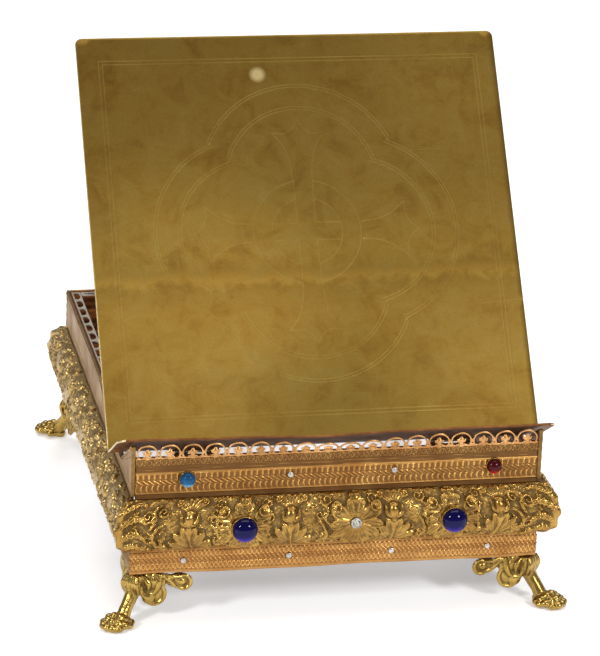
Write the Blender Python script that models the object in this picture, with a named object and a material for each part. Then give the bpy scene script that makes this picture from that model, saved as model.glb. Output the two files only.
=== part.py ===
"""Bible stand: footed brass frame with a bent reading plate on a propped hinge.

Frame: +Z up, +X to the reader's right, -Y towards the reader. The origin is on
the floor under the centre of the frame. Dimensions are in millimetres and are
turned into metres where a mesh is made.
"""
import math

import bmesh
import bpy

MM = 0.001
GAP = 0.3

# Frame plan and its levels above the floor
HALF_X = 150.0
HALF_Y = 172.0
FRAME_FOOT_Z = 36.0
FRIEZE_LOW_Z = 55.6
FRIEZE_TOP_Z = 96.4
RIM_Z = 126.4
GALLERY_TOP_Z = 135.0

# Sheet stock
BAND_T = 1.5
WALL_T = 1.2
FRIEZE_T = 1.2
GALLERY_T = 1.0
WALL_OUT = -(BAND_T + GAP)
WALL_IN = WALL_OUT - WALL_T
POST = 3.0

# Repousse frieze section, outward from the frame's face, top to bottom
BULGE = ((0.0, 96.4), (3.6, 94.6), (7.6, 90.4), (10.6, 84.0), (12.0, 76.5),
         (11.7, 70.0), (9.9, 64.0), (6.4, 58.9), (2.6, 56.3), (0.0, 55.6))

# Galleries
FRONT_RINGS = 18
SIDE_RINGS = 10
BACK_RINGS = 16
RING_R = 7.5
RING_BORE_R = 5.9
RING_CENTRE_Z = 128.3
RING_SILL_Z = 127.6
FLANGE_Z = 124.6
FLANGE_DEPTH = 7.0
FLANGE_FRONT_Y = -8.0

# Dip in the side walls, where the plate's fold crosses them
DIP = ((-118.0, 108.2), (-127.0, 108.2), (-154.5, 125.0),
       (-154.5, 145.0), (-6.2, 145.0), (-6.2, 127.4))

# Reading plate
PLATE_W = 320.0
PLATE_L = 321.0
LIP_L = 53.0
PLATE_T = 1.5
PLATE_TILT = math.radians(51.0)
LIP_RISE = math.radians(30.5)
FOLD_Y = -126.0
FOLD_Z = 111.8
PLATE_CORNER_R = 5.0
LIP_CORNER_R = 8.0

# Hinges under the fold
AXIS_S = 2.0
AXIS_N = -6.0
KNUCKLE_R = 2.6
PIN_R = 1.2
PIN_CLEARANCE = 0.05
HINGE_X = 95.0
HINGE_HALF_W = 16.0
LEAF_T = 1.2
LEAF_LENGTH = 20.0
RAIL_T = 4.0
RAIL_LOW_Z = 86.0
RAIL_TOP_Z = 103.0

# Prop strut, its rod and the serrated strip on the plate
ROD_Y = -20.0
ROD_Z = 90.0
ROD_R = 3.0
STRUT_HALF_W = 90.0
STRUT_BAR_T = 3.0
STRUT_BAR_W = 8.0
EYE_R = 6.0
CROSSBAR_R = 2.5
CONTACT_S = 150.0
STRIP_HALF_W = 30.0
STRIP_T = 2.5
STRIP_LOW_S = 130.0
STRIP_TOOTH = 4.0
STRIP_TEETH = 26
TOOTH_DEPTH = 0.8

# Stones, fixings
LARGE_STONE_X = (-69.5, 84.0)
CENTRE_BOSS_X = 12.0
STONE_Z = 74.0
SMALL_STONE_X = (-109.5, 114.5)
BAND_MID_Z = 109.0
UPPER_RIVET_X = (-35.0, 41.0)
LOWER_RIVET_X = (-111.0, -34.0, 41.5, 113.0)
LOWER_RIVET_Z = 45.6
STEM_END = -6.0

# Feet: half-length and half-width of a paw, and its centre out from the corner
PAW_HALF_L = 12.5
PAW_HALF_W = 10.5
PAW_OFFSET = 8.0

COLLECTION = "bible_stand"
CUTTERS = "cutters"

METALS = {
    "gilt_brass": ((0.62, 0.40, 0.13), 0.34),
    "copper_gilt": ((0.64, 0.33, 0.12), 0.38),
    "plate_brass": ((0.46, 0.35, 0.13), 0.36),
    "dark_brass": ((0.24, 0.14, 0.06), 0.5),
    "steel": ((0.45, 0.43, 0.40), 0.4),
}
STONES = {
    "cobalt_glass": (0.01, 0.02, 0.45),
    "blue_glass": (0.16, 0.48, 0.66),
    "red_glass": (0.50, 0.01, 0.02),
}


def clear_scene():
    """Start from an empty file."""
    for obj in list(bpy.data.objects):
        bpy.data.objects.remove(obj, do_unlink=True)
    for mesh in list(bpy.data.meshes):
        bpy.data.meshes.remove(mesh)


def make_collections():
    """One collection for the solids and one for what cuts them."""
    for name in (COLLECTION, CUTTERS):
        group = bpy.data.collections.new(name)
        bpy.context.scene.collection.children.link(group)


def make_materials():
    """Plain finishes; one per kind of metal or glass."""
    for name, (colour, roughness) in METALS.items():
        shader = new_shader(name)
        shader.inputs["Base Color"].default_value = (*colour, 1.0)
        shader.inputs["Metallic"].default_value = 1.0
        shader.inputs["Roughness"].default_value = roughness
    for name, colour in STONES.items():
        shader = new_shader(name)
        shader.inputs["Base Color"].default_value = (*colour, 1.0)
        shader.inputs["Roughness"].default_value = 0.05
        shader.inputs["Transmission Weight"].default_value = 0.5


def new_shader(name):
    """A new material's Principled shader."""
    material = bpy.data.materials.new(name)
    material.use_nodes = True
    return material.node_tree.nodes["Principled BSDF"]


def add_solid(name, material, verts, faces, collection=COLLECTION):
    """Make an object from millimetre vertices, with its faces turned outwards."""
    mesh = bpy.data.meshes.new(name)
    bm = bmesh.new()
    made = [bm.verts.new([c * MM for c in vert]) for vert in verts]
    for face in faces:
        bm.faces.new([made[i] for i in face])
    bmesh.ops.recalc_face_normals(bm, faces=bm.faces)
    bm.to_mesh(mesh)
    bm.free()
    obj = bpy.data.objects.new(name, mesh)
    if material:
        mesh.materials.append(bpy.data.materials[material])
    bpy.data.collections[collection].objects.link(obj)
    if collection == CUTTERS:
        obj.hide_render = True
        obj.display_type = "WIRE"
    return obj


def lofted(sections):
    """Vertices and faces of a closed body through equal rings of points."""
    count = len(sections[0])
    verts = [point for section in sections for point in section]
    faces = [list(range(count)), list(range(len(verts) - count, len(verts)))]
    for row in range(len(sections) - 1):
        base = row * count
        for i in range(count):
            j = (i + 1) % count
            faces.append([base + i, base + j, base + count + j, base + count + i])
    return verts, faces


def prism(outline, low, high, place):
    """Extrude a 2-D outline; place(u, v, w) gives each point's position."""
    return lofted([[place(u, v, w) for u, v in outline] for w in (low, high)])


def circle(cu, cv, radius, count=16, start=0.0):
    """Points round a circle."""
    step = 2.0 * math.pi / count
    return [(cu + radius * math.cos(start + i * step),
             cv + radius * math.sin(start + i * step)) for i in range(count)]


def add_boolean(obj, other, operation):
    """Exact Boolean modifier."""
    modifier = obj.modifiers.new(other.name, "BOOLEAN")
    modifier.operation = operation
    modifier.solver = "EXACT"
    modifier.object = other


def cut(obj, *cutters):
    """Take each cutter out of a solid."""
    for cutter in cutters:
        add_boolean(obj, cutter, "DIFFERENCE")


def join(obj, *others):
    """Fuse helper solids into one body."""
    for other in others:
        add_boolean(obj, other, "UNION")


def helper(name, shape):
    """A solid used only by a Boolean."""
    return add_solid(name, None, *shape, collection=CUTTERS)


def side_frame(side):
    """Where (along, outward, up) lies for one side, and its half-length."""
    places = {
        "front": (lambda u, o, z: (u, -(HALF_Y + o), z), HALF_X),
        "back": (lambda u, o, z: (-u, HALF_Y + o, z), HALF_X),
        "right": (lambda u, o, z: (HALF_X + o, u, z), HALF_Y),
        "left": (lambda u, o, z: (-(HALF_X + o), -u, z), HALF_Y),
    }
    return places[side]


def mitred_strip(side, profile):
    """A section (outward, up) run along one side to mitred corners."""
    place, half = side_frame(side)
    ends = []
    for sign in (-1, 1):
        ends.append([place(sign * (half + out - GAP / 2), out, z) for out, z in profile])
    return lofted(ends)


def square_strip(side, profile, shortening):
    """A section (outward, up) run along one side to square ends."""
    place, half = side_frame(side)
    reach = half - shortening
    return lofted([[place(u, out, z) for out, z in profile] for u in (-reach, reach)])


def rectangle(low_u, high_u, low_v, high_v):
    """Four corners of a rectangle."""
    return [(low_u, low_v), (high_u, low_v), (high_u, high_v), (low_u, high_v)]


def offset_inwards(curve, thickness):
    """The curve moved to its inner side by a sheet's thickness."""
    moved = []
    for i, (out, z) in enumerate(curve):
        before = curve[max(i - 1, 0)]
        after = curve[min(i + 1, len(curve) - 1)]
        along = (after[0] - before[0], after[1] - before[1])
        length = math.hypot(*along)
        moved.append((out + along[1] / length * thickness,
                      z - along[0] / length * thickness))
    return moved


def build_walls(dip):
    """Four plain sheets that carry everything else."""
    profile = rectangle(WALL_IN, WALL_OUT, FRAME_FOOT_Z, RIM_Z)
    for side in ("left", "right"):
        shape = square_strip(side, profile, -WALL_OUT)
        cut(add_solid(side + "_wall", "dark_brass", *shape), dip)
    for side in ("front", "back"):
        shape = square_strip(side, profile, -WALL_IN + GAP)
        add_solid(side + "_wall", "dark_brass", *shape)


def build_bands(dip):
    """Moulded strips above and below the friezes."""
    back = -BAND_T
    upper = [(back, FRIEZE_TOP_Z + GAP), (-0.8, FRIEZE_TOP_Z + GAP), (-0.8, 101.2),
             (0.0, 101.2), (0.0, 117.0), (-0.7, 117.6), (-0.7, 121.4), (0.0, 122.0),
             (0.0, RIM_Z), (back, RIM_Z)]
    lower = [(back, FRAME_FOOT_Z), (0.0, FRAME_FOOT_Z), (0.0, 38.5), (-0.5, 38.9),
             (-0.5, 52.4), (0.0, 52.8), (0.0, FRIEZE_LOW_Z - GAP),
             (back, FRIEZE_LOW_Z - GAP)]
    for side in ("front", "back", "left", "right"):
        shape = square_strip(side, upper, POST + GAP)
        band = add_solid(side + "_upper_band", "copper_gilt", *shape)
        if side in ("left", "right"):
            cut(band, dip)
        shape = mitred_strip(side, lower)
        add_solid(side + "_lower_band", "copper_gilt", *shape)


def build_friezes():
    """Hollow bulged strips, mitred at the corners."""
    inner = offset_inwards(BULGE[1:-1], FRIEZE_T)
    profile = [(-BAND_T, FRIEZE_TOP_Z)] + list(BULGE) + [(-BAND_T, FRIEZE_LOW_Z)]
    profile += [(-BAND_T, FRIEZE_LOW_Z + FRIEZE_T)] + inner[::-1]
    profile += [(-BAND_T, FRIEZE_TOP_Z - FRIEZE_T)]
    for side in ("front", "back", "left", "right"):
        add_solid(side + "_frieze", "gilt_brass", *mitred_strip(side, profile))


def build_corner_posts():
    """Square wire at each corner; the front pair rises beside the rings."""
    for depth_name, sy, top in (("front", -1, GALLERY_TOP_Z), ("back", 1, RIM_Z)):
        for side_name, sx in (("left", -1), ("right", 1)):
            outline = [(sx * HALF_X, sy * HALF_Y), (sx * (HALF_X - POST), sy * HALF_Y),
                       (sx * (HALF_X - POST), sy * (HALF_Y - POST)),
                       (sx * HALF_X, sy * (HALF_Y - POST))]
            shape = prism(outline, FRIEZE_TOP_Z + GAP, top, lambda u, v, w: (u, v, w))
            name = "corner_post_" + depth_name + "_" + side_name
            # the side walls end behind the posts, so each keeps its front corner
            post = add_solid(name, "copper_gilt", *shape)
            notch_out = (HALF_X + WALL_OUT + GAP, HALF_Y + WALL_OUT + GAP)
            inner = rectangle(-notch_out[0], notch_out[0], -notch_out[1], notch_out[1])
            shape = prism(inner, 0.0, RIM_Z + GAP, lambda u, v, w: (u, v, w))
            cut(post, helper(name + "_notch", shape))


def build_front_gallery():
    """Upright strip of round-arched rings."""
    place, half = side_frame("front")
    reach = half - POST - GAP
    pitch = 2 * reach / FRONT_RINGS
    outline = [(-reach, RIM_Z + GAP), (reach, RIM_Z + GAP)]
    holes_v, holes_f = [], []
    low, high = -BAND_T, -BAND_T + GALLERY_T
    for i in reversed(range(FRONT_RINGS)):
        centre = -reach + (i + 0.5) * pitch
        for k in range(9):
            angle = math.pi * k / 8
            outline.append((centre + RING_R * math.cos(angle),
                            RING_CENTRE_Z + RING_R * math.sin(angle)))
        hole = []
        sill = RING_SILL_Z - RING_CENTRE_Z
        start = math.asin(sill / RING_BORE_R)
        for k in range(11):
            angle = start + (math.pi - 2 * start) * k / 10
            hole.append((centre + RING_BORE_R * math.cos(angle),
                         RING_CENTRE_Z + RING_BORE_R * math.sin(angle)))
        verts, faces = prism(hole, low - 1.0, high + 1.0, lambda u, v, w: place(u, w, v))
        base = len(holes_v)
        holes_v += verts
        holes_f += [[base + n for n in face] for face in faces]
    shape = prism(outline, low, high, lambda u, v, w: place(u, w, v))
    gallery = add_solid("front_gallery", "copper_gilt", *shape)
    cut(gallery, helper("front_gallery_holes", (holes_v, holes_f)))


def build_flange(name, u_low, u_high, count, place):
    """Pierced strip turned flat inside the rim; place(u, inward, z)."""
    margin = 1.4
    pitch = (u_high - u_low) / count
    shape = prism(rectangle(u_low, u_high, 0.0, FLANGE_DEPTH), FLANGE_Z,
                  FLANGE_Z + GALLERY_T, place)
    strip = add_solid(name, "dark_brass", *shape)
    verts, faces = [], []
    for i in range(count):
        centre = u_low + (i + 0.5) * pitch
        half = pitch / 2 - margin
        hole = [(centre - half, margin * 0.8), (centre + half, margin * 0.8),
                (centre + half, 3.2), (centre + half * 0.72, 5.2), (centre, 6.1),
                (centre - half * 0.72, 5.2), (centre - half, 3.2)]
        more, loops = prism(hole, FLANGE_Z - 1.0, FLANGE_Z + GALLERY_T + 1.0, place)
        base = len(verts)
        verts += more
        faces += [[base + n for n in face] for face in loops]
    cut(strip, helper(name + "_holes", (verts, faces)))


def build_turned_galleries():
    """The side and back galleries, turned in so that the plate can close."""
    inner_x = HALF_X + WALL_IN - GAP
    inner_y = HALF_Y + WALL_IN - GAP
    build_flange("left_gallery", FLANGE_FRONT_Y, inner_y, SIDE_RINGS,
                 lambda u, v, w: (-inner_x + v, u, w))
    build_flange("right_gallery", FLANGE_FRONT_Y, inner_y, SIDE_RINGS,
                 lambda u, v, w: (inner_x - v, u, w))
    reach = inner_x - FLANGE_DEPTH - GAP
    build_flange("back_gallery", -reach, reach, BACK_RINGS,
                 lambda u, v, w: (u, inner_y - v, w))


def wing_outline():
    """Scrolled bracket seen square on: in from the corner, then up."""
    lobes = ((0.0, 35.7), (46.0, 35.7), (46.6, 32.0), (44.0, 27.5), (39.0, 23.0),
             (34.0, 21.2), (30.5, 22.0), (28.5, 17.5), (25.0, 13.0), (20.0, 11.0),
             (14.5, 12.2), (10.5, 15.5), (5.5, 19.0), (0.0, 20.0))
    return list(lobes)


def build_foot(depth_name, side_name):
    """One casting: fixing tabs, scrolled wings, knee, stem and clawed paw."""
    sx = 1 if side_name == "right" else -1
    sy = 1 if depth_name == "back" else -1
    name = depth_name + "_" + side_name + "_foot"

    def at(a, b, z):
        return (sx * (HALF_X + a), sy * (HALF_Y + b), z)

    knee = ((35.7, 9.0, -6.0), (30.0, 9.6, -3.0), (25.0, 8.0, 0.5), (20.0, 5.6, 3.2),
            (14.0, 4.4, 5.0), (9.0, 4.8, 5.6), (5.0, 6.0, 6.0))
    rings = []
    for z, radius, offset in knee:
        rings.append([at(a, b, z) for a, b in circle(offset, offset, radius, 12)])
    foot = add_solid(name, "gilt_brass", *lofted(rings))

    paw = ((-1.0, 0.45, 7.0), (-0.72, 0.72, 12.5), (-0.3, 0.9, 15.0), (0.15, 1.0, 14.0),
           (0.55, 0.96, 10.5), (0.85, 0.78, 6.5), (1.0, 0.5, 3.4))
    diagonal = math.sqrt(0.5)
    rings = []
    for along, width, height in paw:
        ring = []
        half = PAW_HALF_W * width
        t = PAW_HALF_L * along
        for across, z in ((-0.8, 0.0), (0.8, 0.0), (1.0, 0.3), (0.86, 0.66), (0.4, 0.95),
                          (0.0, 1.0), (-0.4, 0.95), (-0.86, 0.66), (-1.0, 0.3)):
            u = across * half
            ring.append(at(PAW_OFFSET + (t + u) * diagonal,
                           PAW_OFFSET + (t - u) * diagonal, z * height))
        rings.append(ring)
    join(foot, helper(name + "_paw", lofted(rings)))

    tab_face = WALL_IN - GAP
    tab_t = 3.0
    for axis in ("x", "y"):
        def turn(u, w, z, along_x=(axis == "x")):
            return at(-u, w, z) if along_x else at(w, -u, z)

        shape = prism(wing_outline(), tab_face - tab_t, -0.3,
                      lambda u, v, w: turn(u + 0.3, w, v))
        join(foot, helper(name + "_wing_" + axis, shape))
        tab = rectangle(-tab_face, 42.0, 34.0, 52.0)
        shape = prism(tab, tab_face - tab_t, tab_face,
                      lambda u, v, w: turn(u, w, v))
        join(foot, helper(name + "_tab_" + axis, shape))


def lathe(profile, place, count=20):
    """Turn (radius, along) about an axis; place(u, v, along) gives positions."""
    verts, faces = [], []
    rings = []
    for radius, along in profile:
        if radius == 0.0:
            rings.append([len(verts)])
            verts.append(place(0.0, 0.0, along))
            continue
        rings.append(list(range(len(verts), len(verts) + count)))
        verts += [place(u, v, along) for u, v in circle(0.0, 0.0, radius, count)]
    for first, second in zip(rings, rings[1:]):
        for i in range(count):
            j = (i + 1) % count
            corners = [first[i % len(first)], first[j % len(first)],
                       second[j % len(second)], second[i % len(second)]]
            faces.append(list(dict.fromkeys(corners)))
    return verts, faces


def front_place(x, z):
    """Place a turned part on the front, its axis pointing outwards."""
    return lambda u, v, along: (x + u, -(HALF_Y + along), z + v)


def drill_front(target, x, z, radius, behind=()):
    """Round hole through a front strip, the wall behind it and what lies behind that."""
    shape = prism(circle(0.0, 0.0, radius, 12), -9.0, 20.0, front_place(x, z))
    name = target + "_hole_%d_%d" % (round(x), round(z))
    cutter = helper(name, shape)
    for name in (target, "front_wall", *behind):
        cut(bpy.data.objects[name], cutter)


def build_stone(label, glass, x, z, seat, radius, rise):
    """A cabochon and the cup that holds it."""
    side = "left" if x < 0 else "right"
    place = front_place(x, z)
    stem = 2.4 if radius > 6.0 else 1.4
    floor = seat + 1.5
    wall = radius + GAP
    cup = [(0.0, STEM_END), (stem, STEM_END), (stem, seat), (wall + 1.0, seat),
           (wall + 1.1, floor + 0.9), (wall + 0.5, floor + 1.6), (wall, floor + 1.5),
           (wall, floor), (0.0, floor)]
    add_solid(label + "_collet_" + side, "gilt_brass", *lathe(cup, place))
    dome = [(0.0, floor + GAP), (radius, floor + GAP), (radius, floor + GAP + 1.0)]
    steps = 6
    for i in range(1, steps):
        angle = 0.5 * math.pi * i / steps
        dome.append((radius * math.cos(angle),
                     floor + GAP + 1.0 + rise * math.sin(angle)))
    dome.append((0.0, floor + GAP + 1.0 + rise))
    add_solid(glass + "_cabochon_" + side, glass, *lathe(dome, place))
    return stem + GAP


def build_stud(name, x, z, seat, radius, rise, stem):
    """Domed rivet with a shank through the front."""
    profile = [(0.0, STEM_END), (stem, STEM_END), (stem, seat), (radius, seat),
               (radius * 0.95, seat + rise * 0.4), (radius * 0.62, seat + rise * 0.85),
               (0.0, seat + rise)]
    add_solid(name, "steel", *lathe(profile, front_place(x, z), 14))


def build_ornaments():
    """Stones, the centre boss and the rivets of the front."""
    frieze_seat = 12.0 + GAP
    for x in LARGE_STONE_X:
        hole = build_stone("large", "cobalt_glass", x, STONE_Z, frieze_seat, 8.75, 5.5)
        drill_front("front_frieze", x, STONE_Z, hole)
    for x, glass in zip(SMALL_STONE_X, ("blue_glass", "red_glass")):
        hole = build_stone("small", glass, x, BAND_MID_Z, GAP, 5.0, 3.4)
        drill_front("front_upper_band", x, BAND_MID_Z, hole)
    build_stud("centre_boss", CENTRE_BOSS_X, STONE_Z, frieze_seat, 4.0, 2.8, 1.4)
    drill_front("front_frieze", CENTRE_BOSS_X, STONE_Z, 1.4 + GAP)
    for x, side in zip(UPPER_RIVET_X, ("left", "right")):
        build_stud("upper_rivet_" + side, x, BAND_MID_Z, GAP, 2.3, 1.3, 1.2)
        drill_front("front_upper_band", x, BAND_MID_Z, 1.2 + GAP)
    # the outer two of the lower row also hold the front feet
    places = (("outer_left", ("front_left_foot",)), ("inner_left", ()),
              ("inner_right", ()), ("outer_right", ("front_right_foot",)))
    for x, (side, behind) in zip(LOWER_RIVET_X, places):
        build_stud("lower_rivet_" + side, x, LOWER_RIVET_Z, -0.5 + GAP, 2.3, 1.3, 1.2)
        drill_front("front_lower_band", x, LOWER_RIVET_Z, 1.2 + GAP, behind)


def on_plate(x, s, n):
    """A point s up the plate from the fold and n off its reading face."""
    sin, cos = math.sin(PLATE_TILT), math.cos(PLATE_TILT)
    return (x, FOLD_Y + s * cos - n * sin, FOLD_Z + s * sin + n * cos)


def on_lip(x, l, n):
    """A point l out along the lip from the fold and n off its upper face."""
    sin, cos = math.sin(LIP_RISE), math.cos(LIP_RISE)
    return (x, FOLD_Y - l * cos + n * sin, FOLD_Z + l * sin + n * cos)


def build_reading_plate():
    """One sheet, its lower part bent up into the lip, corners rounded."""
    half = PLATE_W / 2
    # inside the bend the two back faces meet on the bisector
    bend = math.pi - PLATE_TILT - LIP_RISE
    meet = PLATE_T / math.tan(bend / 2)
    rows = []
    for k in range(5):
        angle = 0.5 * math.pi * k / 4
        inset = LIP_CORNER_R * (1 - math.sin(angle))
        rows.append(("lip", LIP_L - LIP_CORNER_R * (1 - math.cos(angle)), half - inset))
    rows.append(("fold", 0.0, half))
    for k in range(5):
        angle = 0.5 * math.pi * k / 4
        inset = PLATE_CORNER_R * (1 - math.cos(angle))
        rows.append(("plate", PLATE_L - PLATE_CORNER_R * (1 - math.sin(angle)),
                     half - inset))
    rings = []
    for kind, along, width in rows:
        if kind == "lip":
            ring = [on_lip(-width, along, 0.0), on_lip(width, along, 0.0),
                    on_lip(width, along, -PLATE_T), on_lip(-width, along, -PLATE_T)]
        elif kind == "plate":
            ring = [on_plate(-width, along, 0.0), on_plate(width, along, 0.0),
                    on_plate(width, along, -PLATE_T), on_plate(-width, along, -PLATE_T)]
        else:
            ring = [on_plate(-width, 0.0, 0.0), on_plate(width, 0.0, 0.0),
                    on_plate(width, -meet, -PLATE_T), on_plate(-width, -meet, -PLATE_T)]
        rings.append(ring)
    add_solid("reading_plate", "plate_brass", *lofted(rings))


def hinge_axis():
    """Where the hinge pins lie, as (y, z)."""
    return on_plate(0.0, AXIS_S, AXIS_N)[1:]


def build_hinge_rail():
    """Flat bar between the side walls, just ahead of the hinge pins."""
    axis_y = hinge_axis()[0]
    reach = HALF_X + WALL_IN - GAP
    back = axis_y - LEAF_T / 2 - GAP
    shape = prism(rectangle(back - RAIL_T, back, RAIL_LOW_Z, RAIL_TOP_Z),
                  -reach, reach, lambda u, v, w: (w, u, v))
    add_solid("hinge_rail", "dark_brass", *shape)


def tube_helper(name, radius, x_low, x_high, count=16):
    """Helper cylinder on the hinge axis."""
    axis_y, axis_z = hinge_axis()
    shape = prism(circle(axis_y, axis_z, radius, count), x_low, x_high,
                  lambda u, v, w: (w, u, v))
    return helper(name, shape)


def build_hinge(side, sign):
    """Two leaves and a pin; the frame leaf carries the outer knuckles."""
    axis_y, axis_z = hinge_axis()
    centre = sign * HINGE_X
    low, high = centre - HINGE_HALF_W, centre + HINGE_HALF_W
    third = HINGE_HALF_W / 3
    bore = tube_helper(side + "_hinge_bore", PIN_R + PIN_CLEARANCE, low - 2, high + 2)

    shape = prism(rectangle(axis_y - LEAF_T / 2, axis_y + LEAF_T / 2, RAIL_LOW_Z + 1.0,
                            axis_z), low, high, lambda u, v, w: (w, u, v))
    leaf = add_solid(side + "_hinge_frame_leaf", "steel", *shape)
    join(leaf, tube_helper(side + "_frame_knuckle", KNUCKLE_R, low, high))
    space = tube_helper(side + "_frame_gap", KNUCKLE_R + 1.2,
                        centre - third - GAP, centre + third + GAP)
    cut(leaf, space, bore)

    outline = [(AXIS_S, AXIS_N + 0.9), (AXIS_S + 4.0, -PLATE_T - GAP - LEAF_T),
               (AXIS_S + LEAF_LENGTH, -PLATE_T - GAP - LEAF_T),
               (AXIS_S + LEAF_LENGTH, -PLATE_T - GAP), (AXIS_S + 3.0, -PLATE_T - GAP),
               (AXIS_S - 1.4, AXIS_N + 1.8)]
    shape = prism(outline, low, high, lambda u, v, w: on_plate(w, u, v))
    leaf = add_solid(side + "_hinge_plate_leaf", "steel", *shape)
    join(leaf, tube_helper(side + "_plate_knuckle", KNUCKLE_R,
                           centre - third, centre + third))
    for end, edge_low, edge_high in (("a", low - 1, centre - third),
                                     ("b", centre + third, high + 1)):
        cut(leaf, tube_helper(side + "_plate_gap_" + end, KNUCKLE_R + GAP,
                              edge_low, edge_high))
    cut(leaf, bore)

    shape = prism(circle(axis_y, axis_z, PIN_R, 16), low - 1.0, high + 1.0,
                  lambda u, v, w: (w, u, v))
    add_solid(side + "_hinge_pin", "steel", *shape)


def crossbar_centre():
    """Where the strut's crossbar meets the serrated strip, as (y, z)."""
    n = -(PLATE_T + GAP + STRIP_T + GAP + CROSSBAR_R)
    return on_plate(0.0, CONTACT_S, n)[1:]


def build_strip():
    """Serrated rest on the plate's back."""
    near = -PLATE_T - GAP
    outline = [(STRIP_LOW_S, near)]
    for i in range(STRIP_TEETH):
        s = STRIP_LOW_S + i * STRIP_TOOTH
        outline.append((s, near - STRIP_T + TOOTH_DEPTH))
        outline.append((s + STRIP_TOOTH / 2, near - STRIP_T))
    top = STRIP_LOW_S + STRIP_TEETH * STRIP_TOOTH
    outline.append((top, near - STRIP_T + TOOTH_DEPTH))
    outline.append((top, near))
    shape = prism(outline, -STRIP_HALF_W, STRIP_HALF_W,
                  lambda u, v, w: on_plate(w, u, v))
    add_solid("serrated_rest", "dark_brass", *shape)


def build_strut():
    """Two flat arms and a crossbar, loose on a rod across the frame."""
    top_y, top_z = crossbar_centre()
    length = math.hypot(top_y - ROD_Y, top_z - ROD_Z)
    along = ((top_y - ROD_Y) / length, (top_z - ROD_Z) / length)

    def arm_point(u, v, w):
        return (w, ROD_Y + u * along[0] - v * along[1],
                ROD_Z + u * along[1] + v * along[0])

    half = STRUT_BAR_W / 2
    bend = math.asin(half / EYE_R)
    outline = []
    for k in range(13):
        angle = bend + (2 * math.pi - 2 * bend) * k / 12
        outline.append((EYE_R * math.cos(angle), EYE_R * math.sin(angle)))
    outline += [(length, -half), (length + half * 0.7, -half * 0.7), (length + half, 0.0),
                (length + half * 0.7, half * 0.7), (length, half)]
    inner = STRUT_HALF_W - STRUT_BAR_T
    shape = prism(outline, -STRUT_HALF_W, -inner, arm_point)
    strut = add_solid("prop_strut", "steel", *shape)
    shape = prism(outline, inner, STRUT_HALF_W, arm_point)
    other = helper("strut_right_arm", shape)
    bar = prism(circle(length, 0.0, CROSSBAR_R, 14), -inner - 1.0, inner + 1.0, arm_point)
    join(strut, helper("strut_crossbar", bar), other)
    hole = prism(circle(0.0, 0.0, ROD_R + PIN_CLEARANCE, 20, 0.1), -STRUT_HALF_W - 2.0,
                 STRUT_HALF_W + 2.0, arm_point)
    cut(strut, helper("strut_eye_bore", hole))


def build_rod():
    """Rod that the strut turns on, held in a bracket on each side wall."""
    wall_x = HALF_X + WALL_IN - GAP
    shape = prism(circle(ROD_Y, ROD_Z, ROD_R, 20), -(wall_x - 1.0), wall_x - 1.0,
                  lambda u, v, w: (w, u, v))
    add_solid("strut_rod", "steel", *shape)
    bore = helper("rod_bracket_bore",
                  prism(circle(ROD_Y, ROD_Z, ROD_R + GAP, 20), -(wall_x + 2.0),
                        wall_x + 2.0, lambda u, v, w: (w, u, v)))
    outline = [(ROD_Y - 7.0, ROD_Z - 8.0), (ROD_Y + 7.0, ROD_Z - 8.0),
               (ROD_Y + 7.0, ROD_Z + 3.0), (ROD_Y + 4.0, ROD_Z + 7.0),
               (ROD_Y - 4.0, ROD_Z + 7.0), (ROD_Y - 7.0, ROD_Z + 3.0)]
    for side, sign in (("left", -1), ("right", 1)):
        shape = prism(outline, sign * (wall_x - 5.0), sign * wall_x,
                      lambda u, v, w: (w, u, v))
        cut(add_solid("rod_bracket_" + side, "dark_brass", *shape), bore)


def build():
    """Make every piece."""
    clear_scene()
    make_collections()
    make_materials()
    dip = helper("side_dip", prism(DIP, -(HALF_X + 5.0), HALF_X + 5.0,
                                   lambda u, v, w: (w, u, v)))
    build_walls(dip)
    build_bands(dip)
    build_friezes()
    build_corner_posts()
    build_front_gallery()
    build_turned_galleries()
    for depth_name in ("front", "back"):
        for side_name in ("left", "right"):
            build_foot(depth_name, side_name)
    build_ornaments()
    build_reading_plate()
    build_hinge_rail()
    build_hinge("left", -1)
    build_hinge("right", 1)
    build_strip()
    build_strut()
    build_rod()


build()
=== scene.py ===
"""Looks for the bible stand: embossed friezes, ring galleries, cast feet, engraved plate.

Lengths are in millimetres until a mesh is made. (u, o, z) means along a side of the
frame, outward from its face, and up.
"""
import math

import bmesh
import bpy
import numpy as np
from mathutils import Matrix, Vector
from mathutils.geometry import delaunay_2d_cdt
from mathutils.kdtree import KDTree


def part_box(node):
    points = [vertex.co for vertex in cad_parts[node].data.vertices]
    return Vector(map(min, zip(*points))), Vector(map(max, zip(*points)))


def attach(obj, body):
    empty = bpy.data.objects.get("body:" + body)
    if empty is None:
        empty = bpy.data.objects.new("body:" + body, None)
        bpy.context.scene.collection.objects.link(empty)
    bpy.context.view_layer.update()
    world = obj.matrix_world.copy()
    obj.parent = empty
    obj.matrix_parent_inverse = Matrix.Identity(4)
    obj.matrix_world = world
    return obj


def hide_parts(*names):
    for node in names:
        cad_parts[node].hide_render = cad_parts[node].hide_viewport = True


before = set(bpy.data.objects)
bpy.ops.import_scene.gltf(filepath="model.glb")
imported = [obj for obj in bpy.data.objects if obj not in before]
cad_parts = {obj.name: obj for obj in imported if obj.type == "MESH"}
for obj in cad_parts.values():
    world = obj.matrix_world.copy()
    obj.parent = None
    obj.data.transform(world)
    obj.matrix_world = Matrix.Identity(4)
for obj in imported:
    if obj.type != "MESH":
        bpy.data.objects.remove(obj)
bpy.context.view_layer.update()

MM = 0.001
GAP = 0.3

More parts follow.
